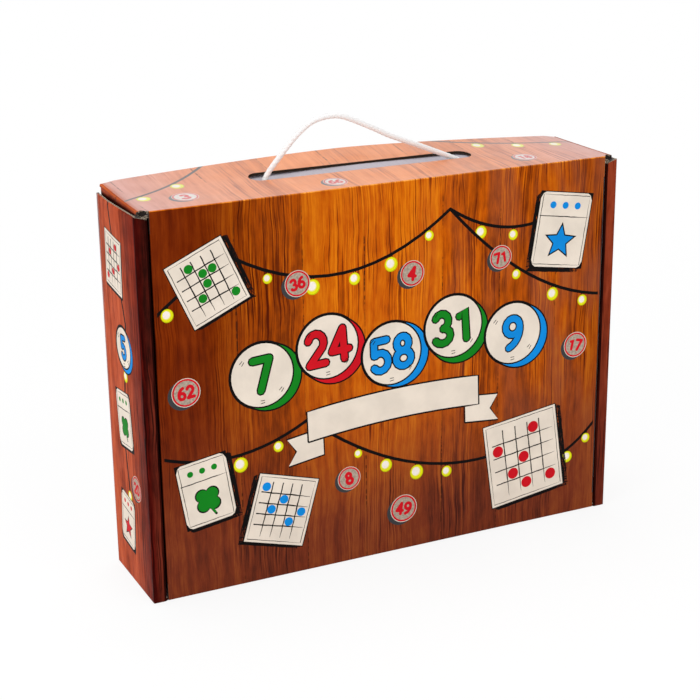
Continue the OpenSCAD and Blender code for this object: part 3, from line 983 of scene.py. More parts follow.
FRONT_TONES = ((0.127, 0.013, 0.001), (0.262, 0.045, 0.0015), (0.515, 0.091, 0.001), (0.716, 0.188, 0.004))
LOW_TONES = ((0.045, 0.010, 0.007), (0.105, 0.021, 0.010), (0.170, 0.031, 0.012), (0.26, 0.060, 0.016))
LEFT_TONES = ((0.032, 0.002, 0.0), (0.070, 0.006, 0.0), (0.130, 0.013, 0.0), (0.210, 0.028, 0.001))
# The top's tones are paler than the front's: its print with painted reflection of the bright backdrop.
TOP_TONES = ((0.34, 0.10, 0.044), (0.52, 0.165, 0.062), (0.66, 0.216, 0.075), (0.76, 0.27, 0.10))
# The side walls' print as two copies: lit tones for the painted light toward their back, shaded tones for the
# painted shade toward their front.
SIDE_LIT_TONES = ((0.11, 0.014, 0.004), (0.27, 0.036, 0.010), (0.45, 0.072, 0.022), (0.60, 0.125, 0.045))
SIDE_SHADED_TONES = ((0.036, 0.004, 0.0023), (0.108, 0.009, 0.0046), (0.194, 0.0174, 0.0075), (0.274, 0.029, 0.014))


def dimmed(tones, share):
    """The same tones, darkened by a share for red, green and blue."""
    return tuple(tuple(c * s for c, s in zip(tone, share)) for tone in tones)


# Paler still toward the top's ends and back: painted reflection.
TOP_GLARE_TONES = dimmed(TOP_TONES, (0.78, 1.12, 2.7))
# The top front crease's line: lighter partly from wear and partly as a painted highlight, brightest right of
# the middle.
CREASE_WEAR_AND_HIGHLIGHT_TONES = dimmed(FRONT_TONES, (1.3, 2.1, 15))
BENT_TONES = ((0.17, 0.022, 0.005), (0.30, 0.048, 0.010), (0.42, 0.078, 0.016), (0.52, 0.115, 0.026))
ROLL_TONES = dimmed(SIDE_SHADED_TONES, (0.40, 0.25, 0.3))
ROLL_LIGHT = dimmed(SIDE_SHADED_TONES, (0.7, 1.1, 1.2))
ROLL_BRIGHT = dimmed(SIDE_LIT_TONES, (0.55, 0.5, 0.55))
# Near-black painted shade, for faces deep in the gaps beside the lid and low on the ears.
PAINTED_SHADE_TONES = dimmed(SIDE_SHADED_TONES, (0.15, 0.15, 0.15))

wood("wood_front", FRONT_TONES, LEFT_TONES, LOW_TONES, (0.03, 0.205, 0.162, 0.185), 3.0, haze=0.6,
     sockets=MATT)
wood("wood_crease", CREASE_WEAR_AND_HIGHLIGHT_TONES, FRONT_TONES, FRONT_TONES, (0.04, 0.24, 0.20, 0.2), 3.0, sockets=MATT)
wood("wood_back", FRONT_TONES, LEFT_TONES, LOW_TONES, (0.0, 0.15, 0.20, 0.18), 23.0, sockets=MATT)
# The top: painted reflection in its tones, which gives way to the bent tones at its ends.
wood("wood_top", TOP_TONES, TOP_GLARE_TONES, TOP_GLARE_TONES, (0.0, 0.26, 0.17, 0.2), 3.0,
     rim=(BENT_TONES, 0.1532, 0.1562), sockets=CLEAR)
# The flap's side folds: their part that faces sideways takes darker tones, as painted shade.
wood("wood_bent", BENT_TONES, BENT_TONES, BENT_TONES, (0.0, 0.26, 0.17, 0.2), 3.0,
     rim=(ROLL_BRIGHT, 0.1558, 0.1570))
# The ears: painted light just under the fold, turning to near-black painted shade lower down, inside the side
# wall.
wood("wood_ear", SIDE_LIT_TONES, SIDE_LIT_TONES, PAINTED_SHADE_TONES, (0.0, 0.2430, 0.1, 0.0055), 17.0)
# Printed board coloured near black as painted shade: the dust flaps and dust folds, the rolled edges' inner
# rounding and the stubs at the gaps' foot.
wood("wood_gap", PAINTED_SHADE_TONES, PAINTED_SHADE_TONES, PAINTED_SHADE_TONES, (0.0, 0.0, 1.0, 1.0), 17.0)
# On the side walls the glow is painted light: lit tones at their back, fading to painted shade at their
# front.
wood("wood_side_left", SIDE_LIT_TONES, SIDE_SHADED_TONES, SIDE_SHADED_TONES, (-0.034, 0.2, 0.07, 0.5), 11.0, 0.024)
wood("wood_side_right", SIDE_LIT_TONES, SIDE_SHADED_TONES, SIDE_SHADED_TONES, (0.034, 0.2, 0.07, 0.5), 13.0, 0.024)
wood("wood_roll_left", ROLL_LIGHT, ROLL_TONES, ROLL_TONES, (0.1525, 0.04, 0.006, 0.25), 17.0, 0.05)
wood("wood_roll_right", ROLL_BRIGHT, ROLL_LIGHT, ROLL_LIGHT, (0.1575, 0.24, 0.008, 0.2), 19.0, 0.05)
liner("liner", (0.50, 0.475, 0.50), (0.36, 0.32, 0.31))
liner("liner_pale", (0.46, 0.425, 0.47), (0.36, 0.33, 0.34))
raw_edge("raw_edge", (0.10, 0.075, 0.055), (0.42, 0.34, 0.25), (0.58, 0.49, 0.38))
raw_edge("roll_edge", (0.16, 0.125, 0.09), (0.30, 0.24, 0.17), (0.44, 0.37, 0.28))
# Cut edges coloured nearly black as painted shade: the lid's and the uprights' sides, the creases' ends and
# the slot.
raw_edge("side_edge", (0.012, 0.008, 0.006), (0.05, 0.03, 0.022), (0.09, 0.06, 0.045))
raw_edge("slot_edge_painted_shade", (0.012, 0.008, 0.006), (0.035, 0.020, 0.012), (0.060, 0.035, 0.020))
crushed("crushed")
solid_stock("torn_pulp", (0.34, 0.27, 0.21), 1400)
rope_fibre("rope", (0.95, 0.94, 0.93), (0.70, 0.68, 0.68))
rope_fibre("cotton_cord", (0.80, 0.73, 0.58), (0.50, 0.43, 0.32))
solid_stock("card_stock", (0.80, 0.76, 0.64))
solid_stock("grey_board", (0.42, 0.38, 0.33), 500)
solid_stock("leaf", (0.84, 0.83, 0.80), 1400)
solid_stock("disc_board", (0.52, 0.50, 0.46), 700)
cloth("bag_cloth", (0.20, 0.012, 0.014), (0.34, 0.04, 0.04))
moulded("chip_red", (0.62, 0.010, 0.012))
moulded("chip_green", (0.010, 0.26, 0.035))
moulded("chip_blue", (0.008, 0.12, 0.52))
clear_film("film")
INKS = {"cream": (0.745, 0.655, 0.556), "black": (0.006, 0.005, 0.005), "green": (0.008, 0.205, 0.014),
        "red": (0.560, 0.008, 0.016), "blue": (0.006, 0.235, 0.660), "dark": (0.045, 0.046, 0.048),
        "pale_grey": (0.60, 0.53, 0.45), "bulb": (0.84, 0.77, 0.70), "glow_rim": (0.47, 0.50, 0.004),
        "glow": (0.72, 0.70, 0.008), "glow_mid": (0.78, 0.72, 0.22)}
for name, colour in INKS.items():
    ink(name, colour, MATT)
    # Paled copies of the inks for the top: painted reflection.
    ink(name + "_top", tuple(0.82 * c + 0.09 for c in colour), CLEAR)
ink("grey", (0.376, 0.305, 0.242), MATT, 0.25, 700)
# The top's grey, paled by painted reflection.
ink("grey_top", (0.62, 0.57, 0.53), CLEAR, 0.12, 700)


# The rope handle

ROPE_Y = 0.7
ROPE_DIA = 3.4
ROPE_X = 67
ROPE_HOLE = 2.1
# How deep the grooves between strands are, as a share of the radius
GROOVE = 0.16
ROPE_ROUTE = [(-67, 235.9), (-67, 239), (-65.5, 243.5), (-61.5, 249), (-57, 254), (-51, 260.5),
              (-45, 266.5), (-36, 273), (-27, 275.5), (-18, 275.5), (-9, 272.5), (5, 266),
              (15, 261), (24, 257.2), (35, 252.8), (45, 248.6), (54, 244.8), (60.5, 242),
              (65, 239.8), (67, 237.9), (67, 235.9)]


def smooth_line(points, per_gap):
    """A curve through the points, each a vector."""
    line = []
    last = len(points) - 1
    for i in range(last):
        p0, p1, p2, p3 = points[max(i - 1, 0)], points[i], points[i + 1], points[min(i + 2, last)]
        for k in range(per_gap):
            t = k / per_gap
            line.append(0.5 * (2 * p1 + (p2 - p0) * t + (2 * p0 - 5 * p1 + 4 * p2 - p3) * t * t
                               + (3 * p1 - p0 - 3 * p2 + p3) * t ** 3))
    return line + [points[last]]


def strand_tube(piece, line, dia, strands, pitch, mat, sides=24):
    """A twisted rope along a line: round strands that wind about it."""
    rows = []
    up = Vector((0, 1, 0)) if abs((line[1] - line[0]).normalized().y) < 0.9 else Vector((1, 0, 0))
    run = 0.0
    for i, here in enumerate(line):
        along = (line[min(i + 1, len(line) - 1)] - line[max(i - 1, 0)]).normalized()
        up = (up - along * up.dot(along)).normalized()
        across = along.cross(up)
        run += (here - line[i - 1]).length if i else 0
        row = []
        for j in range(sides):
            angle = 2 * math.pi * j / sides
            lobe = abs(math.sin((angle - 2 * math.pi * run / pitch) * strands / 2))
            size = dia / 2 * (1 - GROOVE + GROOVE * lobe ** 0.6)
            row.append(here + size * (math.cos(angle) * up + math.sin(angle) * across))
        rows.append(row)
    piece.grid(rows, mat, uv_size=(dia * math.pi / sides, 0.6))


def make_rope():
    route = [Vector((x, ROPE_Y, z)) for x, z in ROPE_ROUTE]
    line = smooth_line(route, 16)
    piece = Piece()
    strand_tube(piece, line, ROPE_DIA, 3, 9, "rope")
    rope = piece.done("rope_handle_twisted", "tray", ("rope_handle",), smooth=80)


def knot_line(x):
    """The rope's way through an overhand knot, from its hole down to the tail."""
    loops = [(0, 0, 0), (0, 0, -1.2), (2.4, -1.6, -2.6), (1.0, 2.6, -4.0), (-2.6, 0.8, -5.0),
             (-0.8, -2.6, -6.2), (2.4, -0.4, -7.2), (0.4, 1.2, -8.2), (0, 0, -10), (0.3, 0.2, -20)]
    return smooth_line([Vector((x + a, ROPE_Y + b, WALL_UNDER + c)) for a, b, c in loops], 8)


def make_knots():
    piece = Piece()
    for x in (-ROPE_X, ROPE_X):
        strand_tube(piece, knot_line(x), ROPE_DIA * 0.98, 3, 9, "rope", 14)
    piece.done("rope_knots_tied", "tray", ("rope_knots",), smooth=80)


# The folded board

def mirrored(right):
    """An outline whose left half mirrors its right half."""
    return right + [(-x, y) for x, y in right[::-1]]


def lid_outline():
    side = LID_X - BOARD
    return mirrored([(LID_X, BOARD), (LID_X, DUST_LOW), (side, DUST_LOW), (side, DUST_HIGH),
                     (LID_X, DUST_HIGH), (LID_X, LID_TOP)])


def flap_z(x, y):
    """The height of the flap's upper face: it bows up to the back, and its ends droop."""
    rise = RISE_RIGHT + (RISE_LEFT - RISE_RIGHT) * (EAR_X - x) / (2 * EAR_X)
    rise += FLAP_BOW * (1 - abs(x / EAR_X) ** BOW_POWER)
    back = max(y + HALF_D, 0) / (2 * HALF_D)
    end = max(abs(x) - DROOP_X, 0) / (EAR_X - DROOP_X)
    return BOX_H + rise * back ** 1.5 - DROOP * end * end * (0.3 + 0.7 * back)


def flap_outline():
    """The flap, with small notches in its front corners, where three folds meet."""
    inner = EAR_X - BOARD
    right = [(LID_X, LID_IN), (LID_X + 1.4, LID_IN + 0.1), (LID_X + 2.0, LIP_FRONT),
             (154.6, LIP_FRONT + 0.9), (155.4, LIP_FRONT), (inner, LIP_FRONT - 0.4)]
    back = [(x, HALF_D) for x in straight(-inner, inner, 8)[::-1]]
    return right + back + [(-x, y) for x, y in right[::-1]]


def slot_outline():
    return mirrored(arc((SLOT_L - SLOT_W) / 2, SLOT_Y, SLOT_W / 2, SLOT_W / 2, -90, 90, 12))


def spread(low, high, step):
    """Even steps between two ends, without the ends."""
    count = max(int(round((high - low) / step)), 1)
    return [low + (high - low) * i / count for i in range(1, count)]


def swell(y, z):
    """How far a side wall stands out at a place."""
    up = min(max((z - SWELL_FROM) / (WALL_TOP - SWELL_FROM), 0), 1)
    return SWELL * (1 - ((y - SWELL_MIDDLE) / SWELL_HALF) ** 2) * up * up * (3 - 2 * up)


def make_lid():
    # The lid's side edges are painted shade.
    board("lid_panel", "lid", "print_front", lid_outline(),
          lambda x, z, depth: (x, -HALF_D + BOARD * depth, z), layers=front_art(), edge="side_edge")


def make_flap():
    ends = [side * x for side in (-1, 1) for x in (DROOP_X, 151, 153, 154.7)]
    columns = spread(-DROOP_X, DROOP_X, 8) + ends
    grid = [(x, y) for x in columns for y in spread(LID_IN, HALF_D, 8)]
    # The slot's cut edge is painted shade.
    board("closing_flap", "flap", "print_top", flap_outline(),
          lambda x, y, depth: (x, y, flap_z(x, y) - BOARD * depth),
          layers=[(mat + "_top", loops) for mat, loops in top_art()], holes=[slot_outline()],
          hole_edge="slot_edge_painted_shade", grid=grid, face="wood_top", uv_at=(0, BOX_H + HALF_D))


def pinched(z, depth):
    """A depth in the side walls' board, which is thinner at its upper cut edge."""
    near = max(1 - (WALL_TOP - z) / PINCH_BAND, 0)
    return depth + near * (PINCH_IN - PINCH_THIN * depth)


def make_sides():
    heights = spread(0, WALL_TOP, 14) + [WALL_TOP - PINCH_BAND, WALL_TOP - 0.7]
    grid = [(u, v) for u in spread(-BACK_IN, BACK_IN, 6) for v in heights]
    for (side, name), art in zip(SIDES, (left_art(), right_art())):
        def place(u, z, depth):
            return side * (HALF_W + swell(side * u, z) - BOARD * pinched(z, depth)), side * u, z

        front, back = sorted((side * LID_IN, side * BACK_IN))
        outline = [(front, 0), (back, 0), (back, WALL_TOP), (front, WALL_TOP)]
        board(name + "_outer_wall", "tray", "print_side", outline, place, layers=art, grid=grid,
              face="wood_side_" + name)


def make_back():
    wide = HALF_W - BOARD
    outline = [(-wide, BOARD), (wide, BOARD), (wide, WALL_UNDER), (-wide, WALL_UNDER)]
    slot_x = (INNER_X + ROOM_X) / 2
    slot = box_of(BOARD + 0.4, 2 * LOCK_HALF + 0.4)
    holes = [[(x + px, z + pz) for px, pz in slot] for x in (-slot_x, slot_x) for z in LOCK_MIDDLES]
    board("back_panel", "tray", "print_side", outline,
          lambda u, z, depth: (-u, HALF_D - BOARD * depth, z), layers=back_art(), holes=holes,
          face="wood_back")


def bulge(x, y):
    """How far the top wall stands up at a place."""
    share = max(y - TOP_WALL_FRONT, 0) / (BACK_IN - TOP_WALL_FRONT)
    return BULGE * (1 - abs(x / TAB_X) ** BOW_POWER) * math.sin(math.pi * share ** 2.1)


def make_plain_walls():
    holes = [ring_of(x, ROPE_Y, ROPE_HOLE, count=24) for x in (-ROPE_X, ROPE_X)]
    grid = [(x, y) for x in spread(-TAB_X, TAB_X, 8) for y in spread(TOP_WALL_FRONT, BACK_IN, 5)]
    board("top_wall", "tray", "plain_board",
          [(-TAB_X, TOP_WALL_FRONT), (TAB_X, TOP_WALL_FRONT), (TAB_X, BACK_IN), (-TAB_X, BACK_IN)],
          lambda x, y, depth: (x, y, WALL_TOP + bulge(x, y) - BOARD * depth), holes=holes, grid=grid,
          face="liner_pale")
    board("bottom_wall", "tray", "print_side", box_of(2 * TAB_X, 2 * BACK_IN),
          lambda x, v, depth: (x, -v, BOARD * depth), face="wood_back")
    wall = [(LID_IN, BOARD), (BACK_IN, BOARD)]
    for z in LOCK_MIDDLES:
        wall += [(BACK_IN, z - LOCK_HALF), (HALF_D, z - LOCK_HALF)]
        wall += [(HALF_D, z + LOCK_HALF), (BACK_IN, z + LOCK_HALF)]
    wall += [(BACK_IN, WALL_UNDER), (LID_IN, WALL_UNDER)]
    tab = [(LID_IN + 1.5, 0), (BACK_IN - 1.5, 0), (BACK_IN - 9.5, 60), (LID_IN + 9.5, 60)]
    low = [(y, BOARD + z) for y, z in tab]
    high = [(y, WALL_UNDER - z) for y, z in tab[::-1]]
    flap = [(LID_IN, DUST_LOW), (DUST_END - DUST_CUT, DUST_LOW), (DUST_END, DUST_LOW + DUST_CUT),
            (DUST_END, DUST_HIGH - DUST_CUT), (DUST_END - DUST_CUT, DUST_HIGH), (LID_IN, DUST_HIGH)]
    for side, name in SIDES:
        upright(name + "_inner_wall", "tray", side, wall, ROOM_X, 1, "liner")
        upright(name + "_bottom_tab", "tray", side, low, INNER_X, 1, "liner")
        upright(name + "_top_tab", "tray", side, high, INNER_X, 1, "liner")
        # The dust flap's printed face is painted shade.
        upright(name + "_dust_flap", "dust_" + name, side, flap, LID_X, -1, "wood_gap",
                BOARD - DUST_THIN)


def upright(name, body, side, outline, face_x, inward, face, thick=BOARD):
    """A plate of board that stands along the depth, on the left or the right side.

    face_x is its printed or front face, and inward is the way from there to its back.
    """
    flip = -1 if (side < 0) == (inward < 0) else 1
    outline = [(flip * y, z) for y, z in outline][::flip]
    # The cut edges of printed uprights are painted shade.
    edge = "raw_edge" if face == "liner" else "side_edge"
    board(name, body, "plain_board", outline,
          lambda u, z, depth: (side * (face_x + inward * thick * depth), flip * u, z), face=face, edge=edge)


def make_ears():
    for side, name in SIDES:
        def under(y):
            return flap_z(side * (EAR_X - BOARD), y) - BOARD - EAR_PLAY

        ear = [(EAR_FRONT, under(EAR_FRONT)), (EAR_FRONT, EAR_LOW + EAR_CUT), (EAR_FRONT + EAR_CUT, EAR_LOW),
               (EAR_BACK - EAR_NIP, EAR_LOW), (EAR_BACK, EAR_LOW + EAR_NIP), (EAR_BACK, under(EAR_BACK))]
        lip = [(LIP_FRONT, under(LIP_FRONT)), (LIP_BACK, under(LIP_BACK) - LIP_DROP),
               (LIP_BACK, under(LIP_BACK))]
        upright(name + "_ear", "ear_" + name, side, ear, EAR_X, -1, "wood_ear")
        upright(name + "_lip", "flap", side, lip, EAR_X, -1, "wood_ear")


def make_rolled_edges():
    """The strips beside the lid, where a double wall turns round its front, with slanted tops."""
    outer = turned(Vector((-(HALF_W - BOARD), LID_IN, 0)), 180, 90, X_WAY, Y_WAY)
    inner = turned(Vector((-(ROOM_X + BOARD), LID_IN, 0)), 270, 90, X_WAY, Y_WAY)
    for side, name in SIDES:
        profile = [(-side * p.x, p.y) for p in outer + inner]
        # The rounding that faces the lid is painted shade.
        mats = ["wood_roll_" + name] * 10 + ["wood_gap"] * 7 + ["liner"]
        if side > 0:
            profile = profile[::-1]
            mats = mats[-2::-1] + mats[-1:]
        piece = Piece()
        bottom = [piece.corner((x, y, 0)) for x, y in profile]
        tops = [WALL_TOP - ROLL_DROP * (HALF_W - abs(x)) / (HALF_W - ROOM_X) for x, _ in profile]
        top = [piece.corner((x, y, z)) for (x, y), z in zip(profile, tops)]
        for i, mat in enumerate(mats):
            j = (i + 1) % len(profile)
            at, to = abs(profile[i][0]), abs(profile[j][0])
            uvs = [(at, 0), (to, 0), (to, tops[j]), (at, tops[i])]
            piece.face((bottom[i], bottom[j], top[j], top[i]), mat, uvs)
        ends = [(x, (y + HALF_D) / BOARD) for x, y in profile]
        piece.face(bottom[::-1], "raw_edge", ends[::-1])
        piece.face(top, "roll_edge", ends)
        piece.done(name + "_rolled_edge", "tray", (name + "_rolled_edge",), smooth=50)


def straight(low, high, step=20):
    """Even steps from end to end."""
    return [low] + spread(low, high, step) + [high]


def make_folds():
    """The creases between the panels."""
    lid_line = straight(-LID_X, LID_X, 10)
    tray_line = straight(-TAB_X, TAB_X)
    crease = fold("top_front_fold", lambda x: ((x, LID_IN, LID_TOP), -Y_WAY, Z_WAY), 0, 90, lid_line,
                  ("wood_front", "wood_crease", "wood_top"), ("lid", "flap"), "print_front",
                  lambda x, run: (x, LID_TOP + run))
    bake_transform(crease)
    crease = fold("bottom_front_fold", lambda x: ((x, LID_IN, BOARD), -Y_WAY, -Z_WAY), 90, -90, lid_line,
                  ("wood_front",), ("tray", "lid"), "print_front", lambda x, run: (x, run - BOARD))
    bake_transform(crease)
    for side, name in SIDES:
        out = side * X_WAY
        rising, falling = ((0, 90), (90, -90))[::-side]
        # The part of the dust fold beside the gap is painted shade.
        crease = fold(name + "_dust_fold", lambda z: ((side * (LID_X - BOARD), LID_IN, z), out, -Y_WAY),
                      *rising, straight(DUST_LOW, DUST_HIGH), ("wood_gap", "wood_front")[::-side],
                      ("lid", "dust_" + name), "print_front", lambda z, run: (side * (LID_X - run), z))
        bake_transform(crease)
        fold(name + "_back_fold", lambda z: ((side * (HALF_W - BOARD), BACK_IN, z), out, Y_WAY), *falling,
             straight(0, WALL_TOP), ("wood_side_" + name,), ("tray",), "print_side",
             lambda z, run: (side * (BACK_IN + run), z))
        inner = EAR_X - BOARD
        middle_of = lambda y: ((side * inner, y, flap_z(side * inner, y) - BOARD), out, Z_WAY)
        spot = lambda y, run: (side * (EAR_X - run), y + BOX_H + HALF_D)
        fold(name + "_lip_fold", middle_of, *rising, straight(LIP_FRONT - 0.4, LIP_BACK, 4), ("wood_bent",),
             ("flap",), "print_top", spot)
        crease = fold(name + "_ear_fold", middle_of, *rising, straight(EAR_FRONT, HALF_D, 4), ("wood_bent",),
                      ("flap", "ear_" + name), "print_top", spot)
        top = flap_z(side * inner, EAR_FRONT)
        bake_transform(crease)
    fold("top_back_fold", lambda x: ((x, BACK_IN, WALL_UNDER), Y_WAY, Z_WAY), 90, -90, tray_line,
         ("liner",), ("tray",), "plain_board", lambda x, run: (x, run))
    fold("bottom_back_fold", lambda x: ((x, BACK_IN, BOARD), Y_WAY, -Z_WAY), 0, 90, tray_line,
         ("wood_back",), ("tray",), "print_side", lambda x, run: (x, run))


def make_crushed_corners():
    """The torn hollow that is left where three folds meet, beside each end of the top front fold."""
    rim = [(152.1, -33.5, 238.9), (152.2, -32.3, 239.6), (152.9, -30.8, 239.9), (154.6, -29.9, 240.0),
           (156.0, -30.6, 239.8), (156.9, -31.6, 239.2), (156.6, -32.9, 238.4), (154.8, -33.6, 238.1),
           (153.0, -33.7, 238.2)]
    middle = (154.5, -32)
    for side, name in SIDES:
        rng = np.random.default_rng(31 + side)
        upper = []
        for share, drop in ((1, -0.1), (0.9, 0.1), (0.8, 0.8), (0.5, 1.6), (0.2, 2.1)):
            row = []
            for (x, y, z), wob in zip(rim, rng.uniform(-0.15, 0.15, (len(rim), 3))):
                x, y = between(middle, (x, y), share)
                z = max(z - drop + wob[2], WALL_TOP + 0.3)
                row.append((side * (x + wob[0] * 0.5), y + wob[1] * 0.5, z))
            upper.append(row)
        rows = [[(x, y, z - 0.22) for x, y, z in row] for row in upper[::-1]] + upper
        if side > 0:
            rows = [row[::-1] for row in rows]
        piece = Piece()
        piece.grid(rows, "crushed")
        piece.done(name + "_crushed_corner", "flap", smooth=30)


def make_foot_tears():
    """The torn board at the foot of the gaps beside the lid: a stub in near-black painted shade with a pale
    tip of pulp.
    """
    stub = ((0.1, 0.8), (0.5, 1.0), (1.1, 1.0), (1.6, 0.8))
    tip = ((1.3, 0.5), (1.7, 0.6), (2.1, 0.5), (2.4, 0.2))
    for side, name in SIDES:
        rng = np.random.default_rng(41 + side)
        piece = Piece()
        for rings, mat in ((stub, "wood_gap"), (tip, "torn_pulp")):
            rows = []
            for high, share in rings:
                wobs = rng.uniform(-0.12, 0.12, (8, 2))
                ring = ring_of(side * 151.9, -32.7, 1.2 * share, 1.1 * share, 8)
                rows.append([(x + wob[0], y + wob[1], high) for (x, y), wob in zip(ring, wobs)])
            piece.grid(rows, mat)
        piece.done(name + "_foot_tear", "tray", smooth=30)


# The contents

# The two stacks of cards: their middles, their front, and the way from card to card
STACK_COUNT = 12
STACK_X, STACK_Z, STACK_FRONT, STACK_STEP = 75.25, 89.6, 14.2, 1.3
CARD_THICK = 1.2
# The film bag from its foot to its mouth: height, and shares of its width and its depth
FILM_LEVELS = ((0, 0.97, 0.86), (1.0, 0.995, 0.98), (6, 1.0, 1.0), (11, 1.0, 0.99), (15, 0.998, 0.95),
               (16.3, 0.995, 0.70), (17.2, 0.992, 0.30), (18.4, 0.99, 0.075), (22.5, 0.99, 0.07),
               (23, 0.99, 0.12), (23.6, 0.99, 0.12), (24.1, 0.99, 0.07), (26, 0.99, 0.07),
               (26.5, 0.99, 0.11), (27, 0.99, 0.11), (27.5, 0.99, 0.06), (30.2, 0.99, 0.05))


def number_grid(columns, rows, width, height, head, head_ink, text_of, size):
    """A printed grid with a head band and a number in each square, or a star where it has none."""
    left, foot = -width / 2, -height / 2
    step_x, step_y = width / columns, height / rows
    band = [(x, y + height / 2 + head / 2 + 1.2) for x, y in box_of(width, head)]
    rules = [[(left + i * step_x, foot), (left + i * step_x, -foot)] for i in range(1, columns)]
    rules += [[(left, foot + j * step_y), (-left, foot + j * step_y)] for j in range(1, rows)]
    layers = filled("black", box_of(width + 1.2, height + 1.2)) + filled("cream", box_of(width, height))
    layers += filled(head_ink, band)
    layers += filled("black", *[stroke(rule, 0.5) for rule in rules])
    for i in range(columns):
        for j in range(rows):
            text = text_of(i, j)
            mark = number(text, size, "black", 0.15) if text else filled("red", star(size * 0.7))
            layers += put(mark, left + (i + 0.5) * step_x, -foot - (j + 0.5) * step_y)
    return layers


def card_numbers(seed):
    """The numbers of a card, five from fifteen in each column, with its middle square free."""
    rng = np.random.default_rng(seed)
    columns = [sorted(rng.choice(np.arange(1, 16), 5, replace=False) + 15 * i) for i in range(5)]
    return lambda i, j: "" if (i, j) == (2, 2) else str(columns[i][j])


def flat_front(mid_x, mid_z, face_y, thick):
    """Places a plate so that it faces the carton's front."""
    return lambda u, v, depth: (mid_x + u, face_y + thick * depth, mid_z + v)


def make_cards():
    caller = Piece()
    grid = number_grid(15, 5, 270, 120, 12, "blue", lambda i, j: str(i + 1 + 15 * j), 7)
    add_plate(caller, box_of(298, 194, 3), flat_front(0, 98.6, 30.1, 2), layers=put(grid, 0, -6),
              face="cream", back="grey_board", edge="grey_board")
    caller.done("caller_board_printed", "tray", ("caller_board",))
    stack = Piece()
    for side, head_ink in ((-1, "green"), (1, "red")):
        layers = put(number_grid(5, 5, 118, 118, 18, head_ink, card_numbers(5 + side), 12), 0, -8)
        for i in range(STACK_COUNT):
            place = flat_front(side * STACK_X, STACK_Z, STACK_FRONT + STACK_STEP * i, CARD_THICK)
            add_plate(stack, box_of(147.5, 176, 4), place, layers=layers, face="cream", back="card_stock",
                      edge="card_stock")
            layers = ()
    stack.done("bingo_cards_printed", "tray", ("bingo_cards",))


def diagram(x, y, size, dots, mat):
    """A small grid whose dots show a winning line."""
    step = size / 5
    rules = [[(i * step, 0), (i * step, size)] for i in range(6)]
    rules += [[(0, i * step), (size, i * step)] for i in range(6)]
    marks = [ring_of((i + 0.5) * step, (j + 0.5) * step, step * 0.34, count=14) for i, j in dots]
    return put(filled("dark", *[stroke(rule, 0.5) for rule in rules]) + filled(mat, *marks), x, y)


def leaflet_art():
    """Winning lines for the players, as plain diagrams."""
    five = range(5)
    lines = [[(i, 3) for i in five], [(1, j) for j in five], [(i, i) for i in five],
             [(0, 0), (0, 4), (4, 0), (4, 4)], [(2, j) for j in five] + [(i, 2) for i in (0, 1, 3, 4)],
             [(i, j) for i in five for j in (0, 4)]]
    layers = filled("red", [(-58, 52), (58, 52), (58, 60), (-58, 60)])
    for place, dots in enumerate(lines):
        row, column = divmod(place, 3)
        layers += diagram(-58 + 44 * column, 12 - 42 * row, 28, dots, ("green", "blue", "red")[column])
    return layers


def make_leaflet():
    """One sheet folded once: its two leaves meet in a round fold at the left."""
    thick, gap = 0.3, 0.4
    low, high = 1.6, 151.6
    half = 69
    front = 12.9
    outer = (2 * thick + gap) / 2
    mid_y = front + outer
    turn, inner_turn = (arc(-half + outer, mid_y, r, r, start, 360 - start, 8)
                        for r, start in ((outer, 90), (gap / 2, 270)))
    profile = [(half, mid_y + outer), *turn, (half, mid_y - outer), (half, mid_y - gap / 2), *inner_turn,
               (half, mid_y + gap / 2)]
    piece = Piece()
    bottom, top = [[piece.corner((x, y, z)) for x, y in profile] for z in (low, high)]
    flat = [(0.0, 0.0)] * len(profile)
    for i in range(len(profile)):
        j = (i + 1) % len(profile)
        piece.face((bottom[i], bottom[j], top[j], top[i]), "leaf", [(0, low), (1, low), (1, high), (0, high)])
    piece.face(bottom[::-1], "leaf", flat)
    piece.face(top, "leaf", flat)
    print_skin = 0.03
    add_plate(piece, box_of(136, 148), flat_front(0, (low + high) / 2, front - print_skin, print_skin),
              layers=leaflet_art(), face="leaf", back="leaf", edge="leaf")
    piece.done("rules_leaflet_folded", "tray", ("rules_leaflet",), smooth=40)


def rounded(w, d, power, count):
    """Points round a soft rectangle."""
    points = []
    for i in range(count):
        a = 2 * math.pi * i / count
        c, s = math.cos(a), math.sin(a)
        size = (abs(c) ** power + abs(s) ** power) ** (-1 / power)
        points.append((w / 2 * size * c, d / 2 * size * s))
    return points


BAG_X, BAG_Y, BAG_L, BAG_D = -45.1, -0.6, 84.2, 26.4


def in_bag(x, y, z):
    return BAG_X + x, BAG_Y + y, BOARD + z


